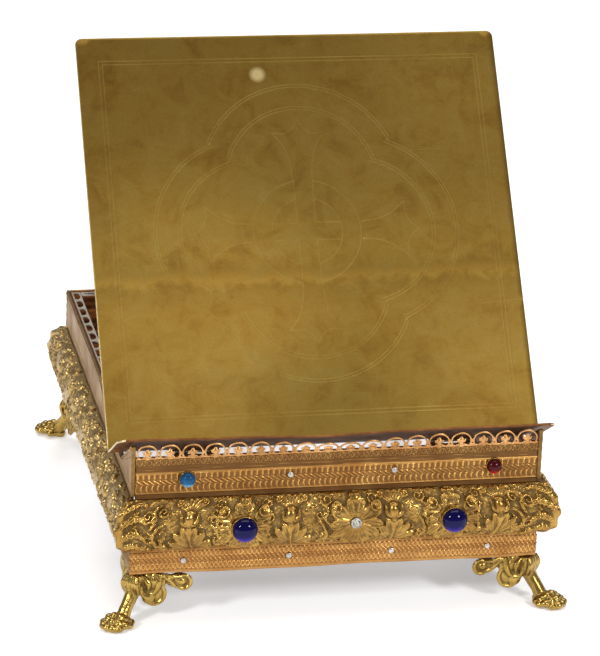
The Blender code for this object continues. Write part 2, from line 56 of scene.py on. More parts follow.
# Frame sizes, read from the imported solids
low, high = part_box("left_lower_band")
HALF_X = -low.x / MM
HALF_Y = high.y / MM + GAP / 2
FOOT_Z = low.z / MM
RIM_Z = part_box("front_upper_band")[1].z / MM
FRIEZE_LOW_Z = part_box("front_frieze")[0].z / MM
BAND_T = 1.5
WALL_OUT = -1.8
WALL_IN = -3.0
POST = 3.0
BULGE = ((0.0, 55.7), (2.2, 56.6), (6.2, 59.3), (9.7, 64.4), (11.4, 70.0),
         (11.7, 76.0), (10.4, 83.0), (7.4, 89.0), (3.2, 93.0), (0.0, 94.4))
BAND_LOW_Z = 94.7
FRONT_RIM_Z = 124.3
DIP = ((-154.5, 125.0), (-127.0, 108.2), (-118.0, 108.2), (-6.2, 127.4))

# Reading plate
PLATE_W = 320.0
PLATE_L = 321.0
LIP_L = 53.0
PLATE_T = 1.5
TILT = math.radians(51.0)
RISE = math.radians(30.5)
FOLD_Y = -126.0
FOLD_Z = 111.8
BEND_R = 1.5
SPOT_X = -24.5
SPOT_S = 289.0


def middle(node):
    """x and z of a node's centre."""
    lo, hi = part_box(node)
    return (lo.x + hi.x) / 2 / MM, (lo.z + hi.z) / 2 / MM


# ---------------------------------------------------------------- materials

def new_material(name):
    material = bpy.data.materials.new(name)
    material.use_nodes = True
    tree = material.node_tree
    return material, tree, tree.nodes["Principled BSDF"]


def link(tree, a, out, b, socket):
    tree.links.new(a.outputs[out], b.inputs[socket])


def noise_node(tree, coords, scale, detail=4.0, rough=0.6, distort=0.0, stretch=None):
    tex = tree.nodes.new("ShaderNodeTexNoise")
    tex.inputs["Scale"].default_value = scale
    tex.inputs["Detail"].default_value = detail
    tex.inputs["Roughness"].default_value = rough
    tex.inputs["Distortion"].default_value = distort
    if stretch:
        mapping = tree.nodes.new("ShaderNodeMapping")
        mapping.inputs["Scale"].default_value = stretch
        link(tree, coords, "Object", mapping, "Vector")
        link(tree, mapping, "Vector", tex, "Vector")
    else:
        link(tree, coords, "Object", tex, "Vector")
    return tex


def ramp_node(tree, source, out, stops):
    ramp = tree.nodes.new("ShaderNodeValToRGB")
    elements = ramp.color_ramp.elements
    elements[0].position = stops[0][0]
    elements[0].color = (*stops[0][1], 1.0)
    elements[1].position = stops[-1][0]
    elements[1].color = (*stops[-1][1], 1.0)
    for position, colour in stops[1:-1]:
        element = elements.new(position)
        element.color = (*colour, 1.0)
    link(tree, source, out, ramp, "Fac")
    return ramp


def grey(value):
    return (value, value, value)


def mix_node(tree, factor, factor_out, a, b, blend="MIX"):
    """a and b are (node, output) pairs or plain colours."""
    mix = tree.nodes.new("ShaderNodeMix")
    mix.data_type = "RGBA"
    mix.blend_type = blend
    if isinstance(factor, float):
        mix.inputs[0].default_value = factor
    else:
        tree.links.new(factor.outputs[factor_out], mix.inputs[0])
    for value, index in ((a, 6), (b, 7)):
        if isinstance(value, tuple) and not isinstance(value[0], bpy.types.Node):
            mix.inputs[index].default_value = (*value, 1.0)
        else:
            tree.links.new(value[0].outputs[value[1]], mix.inputs[index])
    return mix


def scaled_sum(tree, source, factor, plus):
    """A noise times a factor, plus a number or another node's value."""
    node = tree.nodes.new("ShaderNodeMath")
    node.operation = "MULTIPLY_ADD"
    link(tree, source, "Fac", node, 0)
    node.inputs[1].default_value = factor
    if isinstance(plus, float):
        node.inputs[2].default_value = plus
    else:
        link(tree, plus, "Value", node, 2)
    return node


def distance_node(tree, coords, place):
    node = tree.nodes.new("ShaderNodeVectorMath")
    node.operation = "DISTANCE"
    link(tree, coords, "Object", node, 0)
    node.inputs[1].default_value = place
    return node


def span_node(tree, source, out, start, end):
    """0 where the source is at start, 1 where it is at end."""
    node = tree.nodes.new("ShaderNodeMapRange")
    link(tree, source, out, node, "Value")
    node.inputs["From Min"].default_value = start
    node.inputs["From Max"].default_value = end
    return node


def on_plate(x, s, n=0.0):
    """World place, in metres, s mm up the plate and n mm above its underside."""
    return (x * MM, (FOLD_Y + s * math.cos(TILT) - n * math.sin(TILT)) * MM,
            (FOLD_Z + s * math.sin(TILT) + n * math.cos(TILT)) * MM)


def bump_chain(tree, shader, heights):
    """heights: (node, output, strength, distance in mm)."""
    last = None
    for node, out, strength, distance in heights:
        bump = tree.nodes.new("ShaderNodeBump")
        bump.inputs["Strength"].default_value = strength
        bump.inputs["Distance"].default_value = distance * MM
        link(tree, node, out, bump, "Height")
        if last:
            link(tree, last, "Normal", bump, "Normal")
        last = bump
    link(tree, last, "Normal", shader, "Normal")


def brass(name, light, dark, dust_and_shade, scale=1.0, rough=(0.25, 0.5), cavity=True,
          dust_and_shade_amount=0.6, pits=0.3, metallic=1.0):
    """Worn metal: two tones in blotches, dull dust and painted shade in the hollows, fine
    pitting.
    """
    material, tree, shader = new_material(name)
    coords = tree.nodes.new("ShaderNodeTexCoord")
    broad = noise_node(tree, coords, 45.0 * scale, 6.0, 0.62)
    fine = noise_node(tree, coords, 420.0 * scale, 5.0, 0.65)
    tone = ramp_node(tree, broad, "Fac", ((0.32, dark), (0.62, light)))
    speck = ramp_node(tree, fine, "Fac", ((0.3, grey(0.62)), (0.6, grey(1.0))))
    body = mix_node(tree, 0.7, None, (tone, "Color"), (speck, "Color"), "MULTIPLY")
    colour = (body, 2)
    spread = ramp_node(tree, broad, "Fac", ((0.3, grey(rough[1])), (0.7, grey(rough[0]))))
    rough_out = (spread, "Color")
    shader.inputs["Metallic"].default_value = metallic
    shader.inputs["Specular IOR Level"].default_value = 0.15
    # The hollow mask mixes in a dark colour: dust, and painted shade where the recesses would lie
    # in shade.
    if cavity:
        hollow = tree.nodes.new("ShaderNodeAttribute")
        hollow.attribute_name = "hollow"
        where = scaled_sum(tree, fine, 0.5, -0.25)
        total = tree.nodes.new("ShaderNodeMath")
        total.operation = "ADD"
        link(tree, hollow, "Fac", total, 0)
        link(tree, where, "Value", total, 1)
        mask = ramp_node(tree, total, "Value",
                         ((0.35, grey(0.0)), (0.85, grey(dust_and_shade_amount))))
        dusty_shaded = mix_node(tree, mask, "Color", (body, 2), dust_and_shade)
        colour = (dusty_shaded, 2)
        dull = mix_node(tree, mask, "Color", (spread, "Color"), grey(0.8))
        rough_out = (dull, 2)
        metal = ramp_node(tree, mask, "Color", ((0.0, grey(metallic)), (1.0, grey(0.45))))
        tree.links.new(metal.outputs["Color"], shader.inputs["Metallic"])
    tree.links.new(colour[0].outputs[colour[1]], shader.inputs["Base Color"])
    tree.links.new(rough_out[0].outputs[rough_out[1]], shader.inputs["Roughness"])
    bump_chain(tree, shader, ((fine, "Fac", pits, 0.25), (broad, "Fac", 0.25, 0.6)))
    return material


def plate_brass():
    """Satin brass plate: tarnish in olive and orange-brown clouds, painted shade darkening it
    towards the top, a painted reflection brightening the lower left, one tide line across the
    middle, scuffs, and one pale spot."""
    material, tree, shader = new_material("reading_plate_brass")
    coords = tree.nodes.new("ShaderNodeTexCoord")
    cloud = noise_node(tree, coords, 9.0, 10.0, 0.68, 0.3, (0.7, 1.5, 1.5))
    patch = noise_node(tree, coords, 44.0, 9.0, 0.70, 0.6)
    grain = noise_node(tree, coords, 900.0, 3.0, 0.7)
    scratch = noise_node(tree, coords, 120.0, 2.0, 0.5, 0.0, (0.25, 6.0, 9.0))
    tone = ramp_node(tree, cloud, "Fac", (
        (0.34, (0.195, 0.108, 0.018)), (0.46, (0.248, 0.144, 0.026)),
        (0.56, (0.292, 0.178, 0.035)), (0.68, (0.345, 0.222, 0.050))))
    warm = ramp_node(tree, patch, "Fac", (
        (0.34, (0.180, 0.088, 0.014)), (0.48, (0.270, 0.158, 0.028)),
        (0.60, (0.288, 0.188, 0.042)), (0.72, (0.37, 0.215, 0.052))))
    mixed = mix_node(tree, 0.5, None, (tone, "Color"), (warm, "Color"))

    # height up the sloping sheet, in metres
    up = tree.nodes.new("ShaderNodeVectorMath")
    up.operation = "DOT_PRODUCT"
    link(tree, coords, "Object", up, 0)
    up.inputs[1].default_value = (0.0, math.cos(TILT), math.sin(TILT))
    start = FOLD_Y * math.cos(TILT) + FOLD_Z * math.sin(TILT)

    def level(s_from, s_to, wobble, source=cloud):
        """0 at s_from mm up the sheet, 1 at s_to, its edge moved by the clouds."""
        place = scaled_sum(tree, source, wobble * MM, up)
        return span_node(tree, place, "Value", (start + s_from + wobble / 2) * MM,
                         (start + s_to + wobble / 2) * MM)

    # Painted shade: the sheet darkens towards the top.
    height = level(10, 320, 60.0)
    painted_top_shade = ramp_node(tree, height, "Result", ((0.0, grey(1.0)), (0.42, grey(0.92)),
                                              (0.62, grey(0.74)), (1.0, grey(0.56))))
    shaded = mix_node(tree, 1.0, None, (mixed, 2), (painted_top_shade, "Color"), "MULTIPLY")
    tide = level(104, 150, 34.0, patch)
    line = ramp_node(tree, tide, "Result", ((0.0, grey(1.0)), (0.36, grey(0.90)),
                                            (0.50, grey(1.14)), (0.58, grey(0.98)),
                                            (0.66, grey(0.84)), (1.0, grey(1.0))))
    stain_and_painted_light = mix_node(tree, 0.75, None, (shaded, 2), (line, "Color"), "MULTIPLY")

    def near(x, s, radius, gain):
        """Brighter or darker patch, its colour factor at the middle and 1 at the rim."""
        away = distance_node(tree, coords, on_plate(x, s))
        span = span_node(tree, away, "Value", 0.0, radius * MM)
        return ramp_node(tree, span, "Result", ((0.0, grey(gain)), (0.4, grey(gain)),
                                                (1.0, grey(1.0))))

    # Painted reflection: the brighter patch at the lower left; then a darker patch at the bottom
    # middle and a brighter one at the top right.
    for patch_at in ((-95.0, 115.0, 130.0, 1.34), (20.0, -10.0, 110.0, 0.74),
                     (140.0, 320.0, 110.0, 1.22)):
        stain_and_painted_light = mix_node(tree, 1.0, None, (stain_and_painted_light, 2), (near(*patch_at), "Color"),
                           "MULTIPLY")
    speck = ramp_node(tree, grain, "Fac", ((0.25, grey(0.82)), (0.6, grey(1.0))))
    body = mix_node(tree, 1.0, None, (stain_and_painted_light, 2), (speck, "Color"), "MULTIPLY")

    spot = distance_node(tree, coords, on_plate(SPOT_X, SPOT_S, PLATE_T))
    rough_edge = scaled_sum(tree, patch, 2.0 * MM, spot)
    inside = ramp_node(tree, rough_edge, "Value", ((0.0038, grey(0.55)), (0.0046, grey(1.0)),
                                                   (0.0056, grey(0.0))))
    spotted = mix_node(tree, inside, "Color", (body, 2), (0.62, 0.50, 0.24))

    hollow = tree.nodes.new("ShaderNodeAttribute")
    hollow.attribute_name = "hollow"
    faint = ramp_node(tree, hollow, "Fac", ((0.0, grey(0.0)), (1.0, grey(0.40))))
    lined = mix_node(tree, faint, "Color", (spotted, 2), (0.34, 0.245, 0.075))
    tree.links.new(lined.outputs[2], shader.inputs["Base Color"])
    shader.inputs["Metallic"].default_value = 1.0
    sheen = ramp_node(tree, cloud, "Fac", ((0.3, grey(0.55)), (0.7, grey(0.40))))
    tree.links.new(sheen.outputs["Color"], shader.inputs["Roughness"])
    bump_chain(tree, shader, ((grain, "Fac", 0.10, 0.05), (scratch, "Fac", 0.12, 0.08)))
    return material


def stone(name, above, below, centre_z, radius):
    """Polished glass cabochon in painted light: dark above as painted shade, a painted glow below
    for the light that entered it.
    """
    material, tree, shader = new_material(name)
    coords = tree.nodes.new("ShaderNodeTexCoord")
    cloud = noise_node(tree, coords, 180.0, 3.0, 0.5)
    split = tree.nodes.new("ShaderNodeSeparateXYZ")
    link(tree, coords, "Object", split, 0)
    level = span_node(tree, split, "Z", (centre_z - radius) * MM, (centre_z + radius) * MM)
    # Painted shade at the top and painted light glowing at the bottom, set by height.
    shaded_top = tuple(c * 0.55 for c in above)
    tone = ramp_node(tree, level, "Result", ((0.06, below), (0.34, above), (0.8, shaded_top)))
    swirl = ramp_node(tree, cloud, "Fac", ((0.3, grey(0.75)), (0.7, grey(1.0))))
    mixed = mix_node(tree, 1.0, None, (tone, "Color"), (swirl, "Color"), "MULTIPLY")
    tree.links.new(mixed.outputs[2], shader.inputs["Base Color"])
    shader.inputs["Roughness"].default_value = 0.03
    shader.inputs["IOR"].default_value = 1.46
    shader.inputs["Specular IOR Level"].default_value = 0.20
    shader.inputs["Transmission Weight"].default_value = 0.0
    return material


def floor_material():
    material, _, shader = new_material("floor")
    shader.inputs["Base Color"].default_value = (0.93, 0.93, 0.93, 1.0)
    shader.inputs["Roughness"].default_value = 0.9
    shader.inputs["Specular IOR Level"].default_value = 0.1
    # The floor glows faintly: painted light that lifts the shadow under the frame and lights the
    # undersides from below.
    shader.inputs["Emission Color"].default_value = (1.0, 0.99, 0.98, 1.0)
    shader.inputs["Emission Strength"].default_value = 0.26
    return material


GREEN_DUST_AND_SHADE = (0.125, 0.082, 0.030)
GREY_DUST = (0.20, 0.165, 0.12)
MATERIALS = {
    "frieze": brass("frieze_gilt", (0.47, 0.280, 0.072), (0.29, 0.148, 0.034), GREEN_DUST_AND_SHADE,
                    dust_and_shade_amount=0.85, rough=(0.16, 0.34)),
    "side_frieze": brass("side_frieze_gilt", (0.56, 0.38, 0.14), (0.34, 0.215, 0.075),
                         (0.22, 0.17, 0.105), dust_and_shade_amount=0.85, rough=(0.22, 0.42)),
    "band": brass("band_copper_gilt", (0.68, 0.38, 0.110), (0.42, 0.19, 0.046),
                  (0.100, 0.042, 0.014), dust_and_shade_amount=0.85, rough=(0.16, 0.36)),
    "lower_band": brass("lower_band_copper_gilt", (0.61, 0.325, 0.100), (0.40, 0.185, 0.048),
                        (0.20, 0.080, 0.024), dust_and_shade_amount=0.85, rough=(0.22, 0.42)),
    "side_band": brass("side_band_brass", (0.40, 0.235, 0.090), (0.25, 0.140, 0.050),
                       (0.17, 0.105, 0.055), dust_and_shade_amount=0.7, rough=(0.35, 0.55)),
    "rim": brass("rim_brass", (0.26, 0.150, 0.050), (0.14, 0.075, 0.025), GREEN_DUST_AND_SHADE,
                 cavity=False, rough=(0.4, 0.6)),
    "foot": brass("cast_foot_gilt", (0.53, 0.355, 0.095), (0.30, 0.18, 0.04),
                  (0.085, 0.055, 0.02), dust_and_shade_amount=0.85, rough=(0.16, 0.34),
                  pits=0.7),
    "inside": brass("inner_brass", (0.30, 0.105, 0.028), (0.11, 0.035, 0.012),
                    (0.03, 0.012, 0.006), dust_and_shade_amount=0.9, rough=(0.35, 0.6)),
    # Dark brass for the plate's back, its lip and the parts beneath the plate: brass darkened
    # with painted shade.
    "underside": brass("plate_back_brass_painted_shade", (0.24, 0.095, 0.026), (0.10, 0.036, 0.010),
                       (0.05, 0.03, 0.02), cavity=False, rough=(0.4, 0.6), metallic=0.6),
    "steel": brass("fixing_steel", (0.62, 0.60, 0.56), (0.36, 0.33, 0.30), GREY_DUST,
                   cavity=False, rough=(0.25, 0.5)),
    "plate": plate_brass(),
    # Stones: the dark colour above is painted shade, the bright colour below is painted light.
    "cobalt": stone("cobalt_glass", (0.003, 0.001, 0.065), (0.035, 0.005, 0.40), 74.0, 9.1),
    "sky": stone("blue_glass", (0.012, 0.095, 0.24), (0.22, 0.60, 0.88), 109.0, 5.5),
    "red": stone("red_glass", (0.075, 0.001, 0.002), (0.66, 0.006, 0.02), 109.0, 5.5),
    "floor": floor_material(),
    "gallery": brass("gallery_copper", (0.66, 0.36, 0.14), (0.40, 0.18, 0.055),
                     (0.12, 0.05, 0.02), dust_and_shade_amount=0.7, rough=(0.28, 0.5)),
    "web": brass("gallery_web", (0.70, 0.64, 0.54), (0.46, 0.38, 0.28), GREY_DUST,
                 cavity=False, rough=(0.35, 0.55)),
    "collet": brass("collet_brass", (0.50, 0.34, 0.10), (0.26, 0.16, 0.045),
                    GREEN_DUST_AND_SHADE, cavity=False, rough=(0.2, 0.4)),
    "edge": brass("plate_edge", (0.74, 0.62, 0.36), (0.5, 0.40, 0.20), GREY_DUST,
                  cavity=False, rough=(0.3, 0.5)),
}


# ---------------------------------------------------------------- mesh helpers

def make_object(name, verts, faces, material, smooth=True, hollow=None):
    """An object from millimetre vertices; faces index them."""
    mesh = bpy.data.meshes.new(name)
    mesh.from_pydata(np.asarray(verts, float) * MM, [], faces)
    mesh.validate()
    if hollow is not None:
        layer = mesh.attributes.new("hollow", "FLOAT", "POINT")
        layer.data.foreach_set("value", np.asarray(hollow, np.float32))
    bm = bmesh.new()
    bm.from_mesh(mesh)
    bmesh.ops.recalc_face_normals(bm, faces=bm.faces)
    bm.to_mesh(mesh)
    bm.free()
    mesh.materials.append(MATERIALS[material])
    mesh.polygons.foreach_set("use_smooth", [smooth] * len(mesh.polygons))
    obj = bpy.data.objects.new(name, mesh)
    bpy.context.scene.collection.objects.link(obj)
    return obj


def side_place(side):
    places = {
        "front": (lambda u, o, z: (u, -(HALF_Y + o), z), HALF_X),
        "back": (lambda u, o, z: (-u, HALF_Y + o, z), HALF_X),
        "right": (lambda u, o, z: (HALF_X + o, u, z), HALF_Y),
        "left": (lambda u, o, z: (-(HALF_X + o), -u, z), HALF_Y),
    }
    return places[side]


def closed_panel(name, side, u, o, z, back, material, hollow):
    """A relief grid with a flat back: arrays are (rows up, columns along)."""
    place, _ = side_place(side)
    rows, cols = u.shape
    u = np.vstack([u, u[-1:], u[:1]])
    o = np.vstack([o, np.full((2, cols), back)])
    z = np.vstack([z, z[-1:], z[:1]])
    hollow = np.vstack([hollow, hollow[-1:], hollow[:1]])
    verts = np.stack(place(u, o, z), axis=-1).reshape(-1, 3)
    index = np.arange(verts.shape[0]).reshape(rows + 2, cols)
    following = np.vstack([index[1:], index[:1]])
    quads = np.stack([index[:, :-1], index[:, 1:], following[:, 1:], following[:, :-1]],
                     axis=-1).reshape(-1, 4)
    faces = quads.tolist()
    faces.append(index[:, 0].tolist())
    faces.append(index[:, -1].tolist())
    return make_object(name, verts, faces, material, True, hollow.ravel())


def smooth_curve(points, count):
    """Dense Catmull-Rom line through points, evenly spaced, with its length."""
    pts = np.asarray(points, float)
    padded = np.vstack([2 * pts[0] - pts[1], pts, 2 * pts[-1] - pts[-2]])
    dense = []
    for i in range(len(pts) - 1):
        a, b, c, d = padded[i:i + 4]
        t = np.linspace(0, 1, 24, endpoint=False)[:, None]
        dense.append(0.5 * (2 * b + (c - a) * t + (2 * a - 5 * b + 4 * c - d) * t ** 2
                            + (3 * b - a - 3 * c + d) * t ** 3))
    dense = np.vstack(dense + [pts[-1:]])
    run = np.concatenate([[0], np.cumsum(np.linalg.norm(np.diff(dense, axis=0), axis=1))])
    even = np.linspace(0, run[-1], count)
    line = np.stack([np.interp(even, run, dense[:, k]) for k in range(dense.shape[1])], 1)
    return line, run[-1]


def sample(field, x, y, x_step, y_step):
    """Bilinear look-up of field[row y, column x] at (x, y) in millimetres."""
    fx = np.clip(x / x_step, 0, field.shape[1] - 1.001)
    fy = np.clip(y / y_step, 0, field.shape[0] - 1.001)
    ix, iy = fx.astype(int), fy.astype(int)
    tx, ty = fx - ix, fy - iy
    return ((field[iy, ix] * (1 - tx) + field[iy, ix + 1] * tx) * (1 - ty)
            + (field[iy + 1, ix] * (1 - tx) + field[iy + 1, ix + 1] * tx) * ty)


def blurred(field, radius):
    """Box blur, twice, for the hollows mask."""
    out = field
    for _ in range(2):
        for axis in (0, 1):
            pad = [(radius, radius) if k == axis else (0, 0) for k in (0, 1)]
            wide = np.cumsum(np.pad(out, pad, mode="edge"), axis=axis)
            n = out.shape[axis]
            wide = np.concatenate([np.zeros_like(np.take(wide, [0], axis)), wide], axis)
            span = 2 * radius + 1
            upper = np.take(wide, range(span, span + n), axis)
            lower = np.take(wide, range(0, n), axis)
            out = (upper - lower) / span
    return out


class Relief:
    """A height field in millimetres, painted with leaves, scrolls and bosses."""

    def __init__(self, left, width, height, step=0.25):
        self.step, self.left = step, left
        self.x = (left + np.arange(0.0, width + step, step))[None, :]
        self.y = np.arange(0.0, height + step, step)[:, None]
        self.h = np.zeros((self.y.shape[0], self.x.shape[1]))

    def part(self, x0, x1, y0, y1):
        """The patch between these limits: its x, y and height arrays."""
        a = max(0, int((x0 - self.left) / self.step))
        b = min(self.h.shape[1], int((x1 - self.left) / self.step) + 2)
        c = max(0, int(y0 / self.step))
        d = min(self.h.shape[0], int(y1 / self.step) + 2)
        return self.x[:, a:b], self.y[c:d], self.h[c:d, a:b]

    def boss(self, cx, cy, rx, ry, height, turn=0.0, ribs=0, power=0.5):
        reach = max(rx, ry)
        x, y, h = self.part(cx - reach, cx + reach, cy - reach, cy + reach)
        if not h.size:
            return
        c, s = math.cos(turn), math.sin(turn)
        a = ((x - cx) * c + (y - cy) * s) / rx
        b = (-(x - cx) * s + (y - cy) * c) / ry
        r = a * a + b * b
        dome = height * np.clip(1 - r, 0, 1) ** power
        if ribs:
            fan = np.arctan2(a, b + 1.3)
            dome = dome * (1 - 0.30 * (0.5 + 0.5 * np.cos(fan * ribs * 3.2)))
        np.maximum(h, dome, out=h)

    def clear(self, cx, cy, rx, ry):
        """Press the ground flat again inside an ellipse, with a soft rim."""
        x, y, h = self.part(cx - rx, cx + rx, cy - ry, cy + ry)
        r = np.hypot((x - cx) / rx, (y - cy) / ry)
        h *= np.clip((r - 0.82) / 0.18, 0, 1)

    def petal(self, cx, cy, degrees, start, end, half, height):
        """Spoon-shaped petal pointing away from a centre, its edges and tip raised."""
        x, y, h = self.part(cx - end - half, cx + end + half,
                            cy - end - half, cy + end + half)
        if not h.size:
            return
        c, s = math.cos(math.radians(degrees)), math.sin(math.radians(degrees))
        along = ((x - cx) * c + (y - cy) * s - start) / (end - start)
        across = -(x - cx) * s + (y - cy) * c
        a = np.clip(along, 0, 1)
        width = half * (0.30 + 0.70 * np.sin(math.pi * a ** 1.35) ** 0.7) \
            * np.sqrt(np.clip((1 - a) / 0.16, 0, 1))
        b = np.abs(across) / np.maximum(width, 0.05)
        inside = (b < 1) & (along > 0) & (along < 1)
        rim = np.exp(-((b - 0.74) / 0.26) ** 2)
        tip = np.exp(-((a - 0.86) / 0.13) ** 2)
        vein = np.exp(-(across / 0.42) ** 2)
        body = height * (0.42 + 0.30 * rim + 0.30 * tip + 0.16 * vein) * (0.55 + 0.45 * a)
        body *= np.clip((1 - b) / 0.22, 0, 1) ** 0.5
        np.maximum(h, np.where(inside, body, 0.0), out=h)

    def ring(self, cx, cy, radius, width, height):
        reach = radius + width
        x, y, h = self.part(cx - reach, cx + reach, cy - reach, cy + reach)
        if h.size:
            r = (np.hypot(x - cx, y - cy) - radius) / width
            np.maximum(h, height * np.sqrt(np.clip(1 - r * r, 0, 1)), out=h)

    def stroke(self, points, widths, height, vein=0.0, lobes=0, tip=0.15):
        """A leaf or scroll along a line; widths at its start, middle and end."""
        line, _ = smooth_curve(points, max(10, int(len(points) * 6)))
        reach = max(widths) + 0.5
        x, y, h = self.part(line[:, 0].min() - reach, line[:, 0].max() + reach,
                            line[:, 1].min() - reach, line[:, 1].max() + reach)
        if not h.size:
            return
        best = np.full(h.shape, 1e9)
        along = np.zeros(h.shape)
        for i in range(len(line) - 1):
            (ax, ay), (bx, by) = line[i], line[i + 1]
            ex, ey = bx - ax, by - ay
            span = ex * ex + ey * ey + 1e-9
            t = np.clip(((x - ax) * ex + (y - ay) * ey) / span, 0, 1)
            d = np.hypot(x - ax - t * ex, y - ay - t * ey)
            closer = d < best
            best = np.where(closer, d, best)
            along = np.where(closer, (i + t) / (len(line) - 1), along)
        w = np.interp(along, (0, 0.45, 1.0), widths)
        if lobes:
            w = w * (0.74 + 0.26 * np.abs(np.sin(along * math.pi * lobes)))
        inside = np.clip(1 - (best / w) ** 2, 0, 1)
        body = height * np.sqrt(inside) * np.interp(along, (0, tip, 1 - tip, 1),
                                                    (0.55, 1, 1, 0.6))
        if vein:
            body = body - vein * np.exp(-(best / 0.38) ** 2) * (inside > 0)
            if lobes:
                body = body - vein * 0.8 * (np.cos(along * math.pi * 2 * lobes) > 0.7) \
                    * (inside > 0)
        np.maximum(h, body, out=h)

    def scroll(self, cx, cy, radius, turns, start, width, height, hand=1):
        """A spiral ending in a bead."""
        count = int(9 * turns) + 4
        points = []
        for i in range(count):
            t = i / (count - 1)
            angle = start + hand * turns * 2 * math.pi * t
            r = radius * (1 - 0.8 * t)
            points.append((cx + r * math.cos(angle), cy + r * math.sin(angle)))
        self.stroke(points, (width, width * 0.9, width * 0.6), height)

    def look_up(self, x, y):
        return sample(self.h, x - self.left, y, self.step, self.step)


def crinkle(shape, cells, rng):
    """Smooth random field, -1 to 1, with about this many cells up and along."""
    coarse = rng.uniform(-1, 1, (cells[0] + 2, cells[1] + 2))
    y = np.linspace(0.5, cells[0] + 0.5, shape[0])[:, None] * np.ones((1, shape[1]))
    x = np.linspace(0.5, cells[1] + 0.5, shape[1])[None, :] * np.ones((shape[0], 1))
    fx, fy = x - np.floor(x), y - np.floor(y)
    x = np.floor(x) + fx * fx * (3 - 2 * fx)
    y = np.floor(y) + fy * fy * (3 - 2 * fy)
    return sample(coarse, x, y, 1.0, 1.0)


# ---------------------------------------------------------------- friezes

FLOWER_Y = 23.5


def paint_flower(r, cx, hub):
    """Radiating spoon petals, a shell above and a curled leaf on each side."""
    cy = FLOWER_Y
    r.clear(cx, cy, 19.0, 17.5)
    r.clear(cx, cy + 17.0, 8.0, 8.0)
    r.boss(cx, cy, 16.0, 15.0, 0.9, power=0.3)
    for degrees in (-76, -104, -46, -134, -17, -163, 10, 170):
        r.petal(cx, cy, degrees, hub, 16.0, 2.2, 2.0)
    for degrees, reach, width in ((-90, 20.0, 4.3), (-61, 20.0, 4.1), (-119, 20.0, 4.1),
                                  (-31, 20.5, 4.3), (-149, 20.5, 4.3), (-3, 20, 4.3),
                                  (-177, 20, 4.3), (72, 18.5, 3.2), (108, 18.5, 3.2)):
        r.petal(cx, cy, degrees, hub + 0.5, reach, width, 3.6)
    for s in (-1, 1):
        r.petal(cx, cy, 90 - s * 56, hub + 1.0, 22.0, 6.2, 4.2)
        r.ring(cx + s * 14.6, cy + 11.8, 3.4, 1.3, 4.0)
        r.boss(cx + s * 14.8, cy + 11.9, 1.9, 1.7, 3.8)
    r.boss(cx, cy + 18.6, 5.0, 5.4, 3.3, ribs=3)
    r.ring(cx, cy + 20.0, 4.2, 1.1, 3.5)


def paint_lily(r, cx):
    """A vase-shaped bloom on a stem, with curls above and feathered leaves below."""
    r.clear(cx, 14.0, 10.5, 13.0)
    r.clear(cx, 33.0, 8.0, 14.0)
    r.stroke([(cx, 2), (cx, 14), (cx, 26)], (2.2, 1.2, 2.8), 2.5)
    r.boss(cx, 31.0, 4.0, 5.6, 3.4)
    r.boss(cx, 36.0, 4.4, 2.0, 3.6)
    for s in (-1, 1):
        def p(*pairs, s=s):
            return [(cx + s * x, y) for x, y in pairs]
        r.stroke(p((1.5, 26), (5.4, 29.5), (6.2, 35.0)), (1.0, 1.9, 0.9), 2.9, vein=0.6)
        r.petal(cx + s * 1.0, 37, 90 - s * 44, 0.0, 13.5, 3.4, 3.4)
        r.petal(cx + s * 0.5, 38, 90 - s * 14, 0.0, 11.0, 2.2, 3.0)
        r.ring(cx + s * 9.4, 43.0, 2.2, 1.1, 3.2)
        r.boss(cx + s * 9.4, 43.0, 1.1, 1.1, 3.2)
        r.petal(cx + s * 0.6, 8.0, 90 - s * 14, 3.0, 19.0, 2.7, 3.1)
        r.petal(cx + s * 0.6, 6.0, 90 - s * 33, 2.0, 19.5, 3.0, 3.3)
        r.petal(cx + s * 0.6, 4.0, 90 - s * 54, 1.5, 18.5, 3.2, 3.2)
        r.petal(cx + s * 0.6, 3.0, 90 - s * 76, 1.5, 15.0, 2.6, 2.7)


def paint_gap(r, cx, width, rng):
    """Curls, berries and small leaves that fill between two motifs."""
    lean = rng.choice((-1, 1))
    w = width / 12.0
    r.scroll(cx + 1.5 * lean * w, 41.0, 4.4, 1.3, rng.uniform(0, 6), 1.15, 2.3, lean)
    r.scroll(cx - 2.0 * lean * w, 30.5, 3.6, 1.2, rng.uniform(0, 6), 1.05, 2.1, -lean)
    r.scroll(cx + 1.0 * lean * w, 12.5, 3.8, 1.25, rng.uniform(0, 6), 1.1, 2.0, lean)
    r.stroke([(cx - 4 * w, 4), (cx - 1.5 * w, 9), (cx + 2 * w, 14), (cx, 22),
              (cx - 3 * w, 27)], (0.9, 1.6, 0.9), 2.0, vein=0.4, lobes=6)
    r.stroke([(cx + 4 * w, 22), (cx + 1.0 * w, 27), (cx + 2.4 * w, 34), (cx - 1.5 * w, 38)],
             (0.8, 1.6, 0.8), 2.1, vein=0.4, lobes=5)
    for _ in range(26):
        r.boss(cx + rng.normal(0, 3.6 * w), rng.uniform(2, 50), 1.15, 1.15, 1.9)


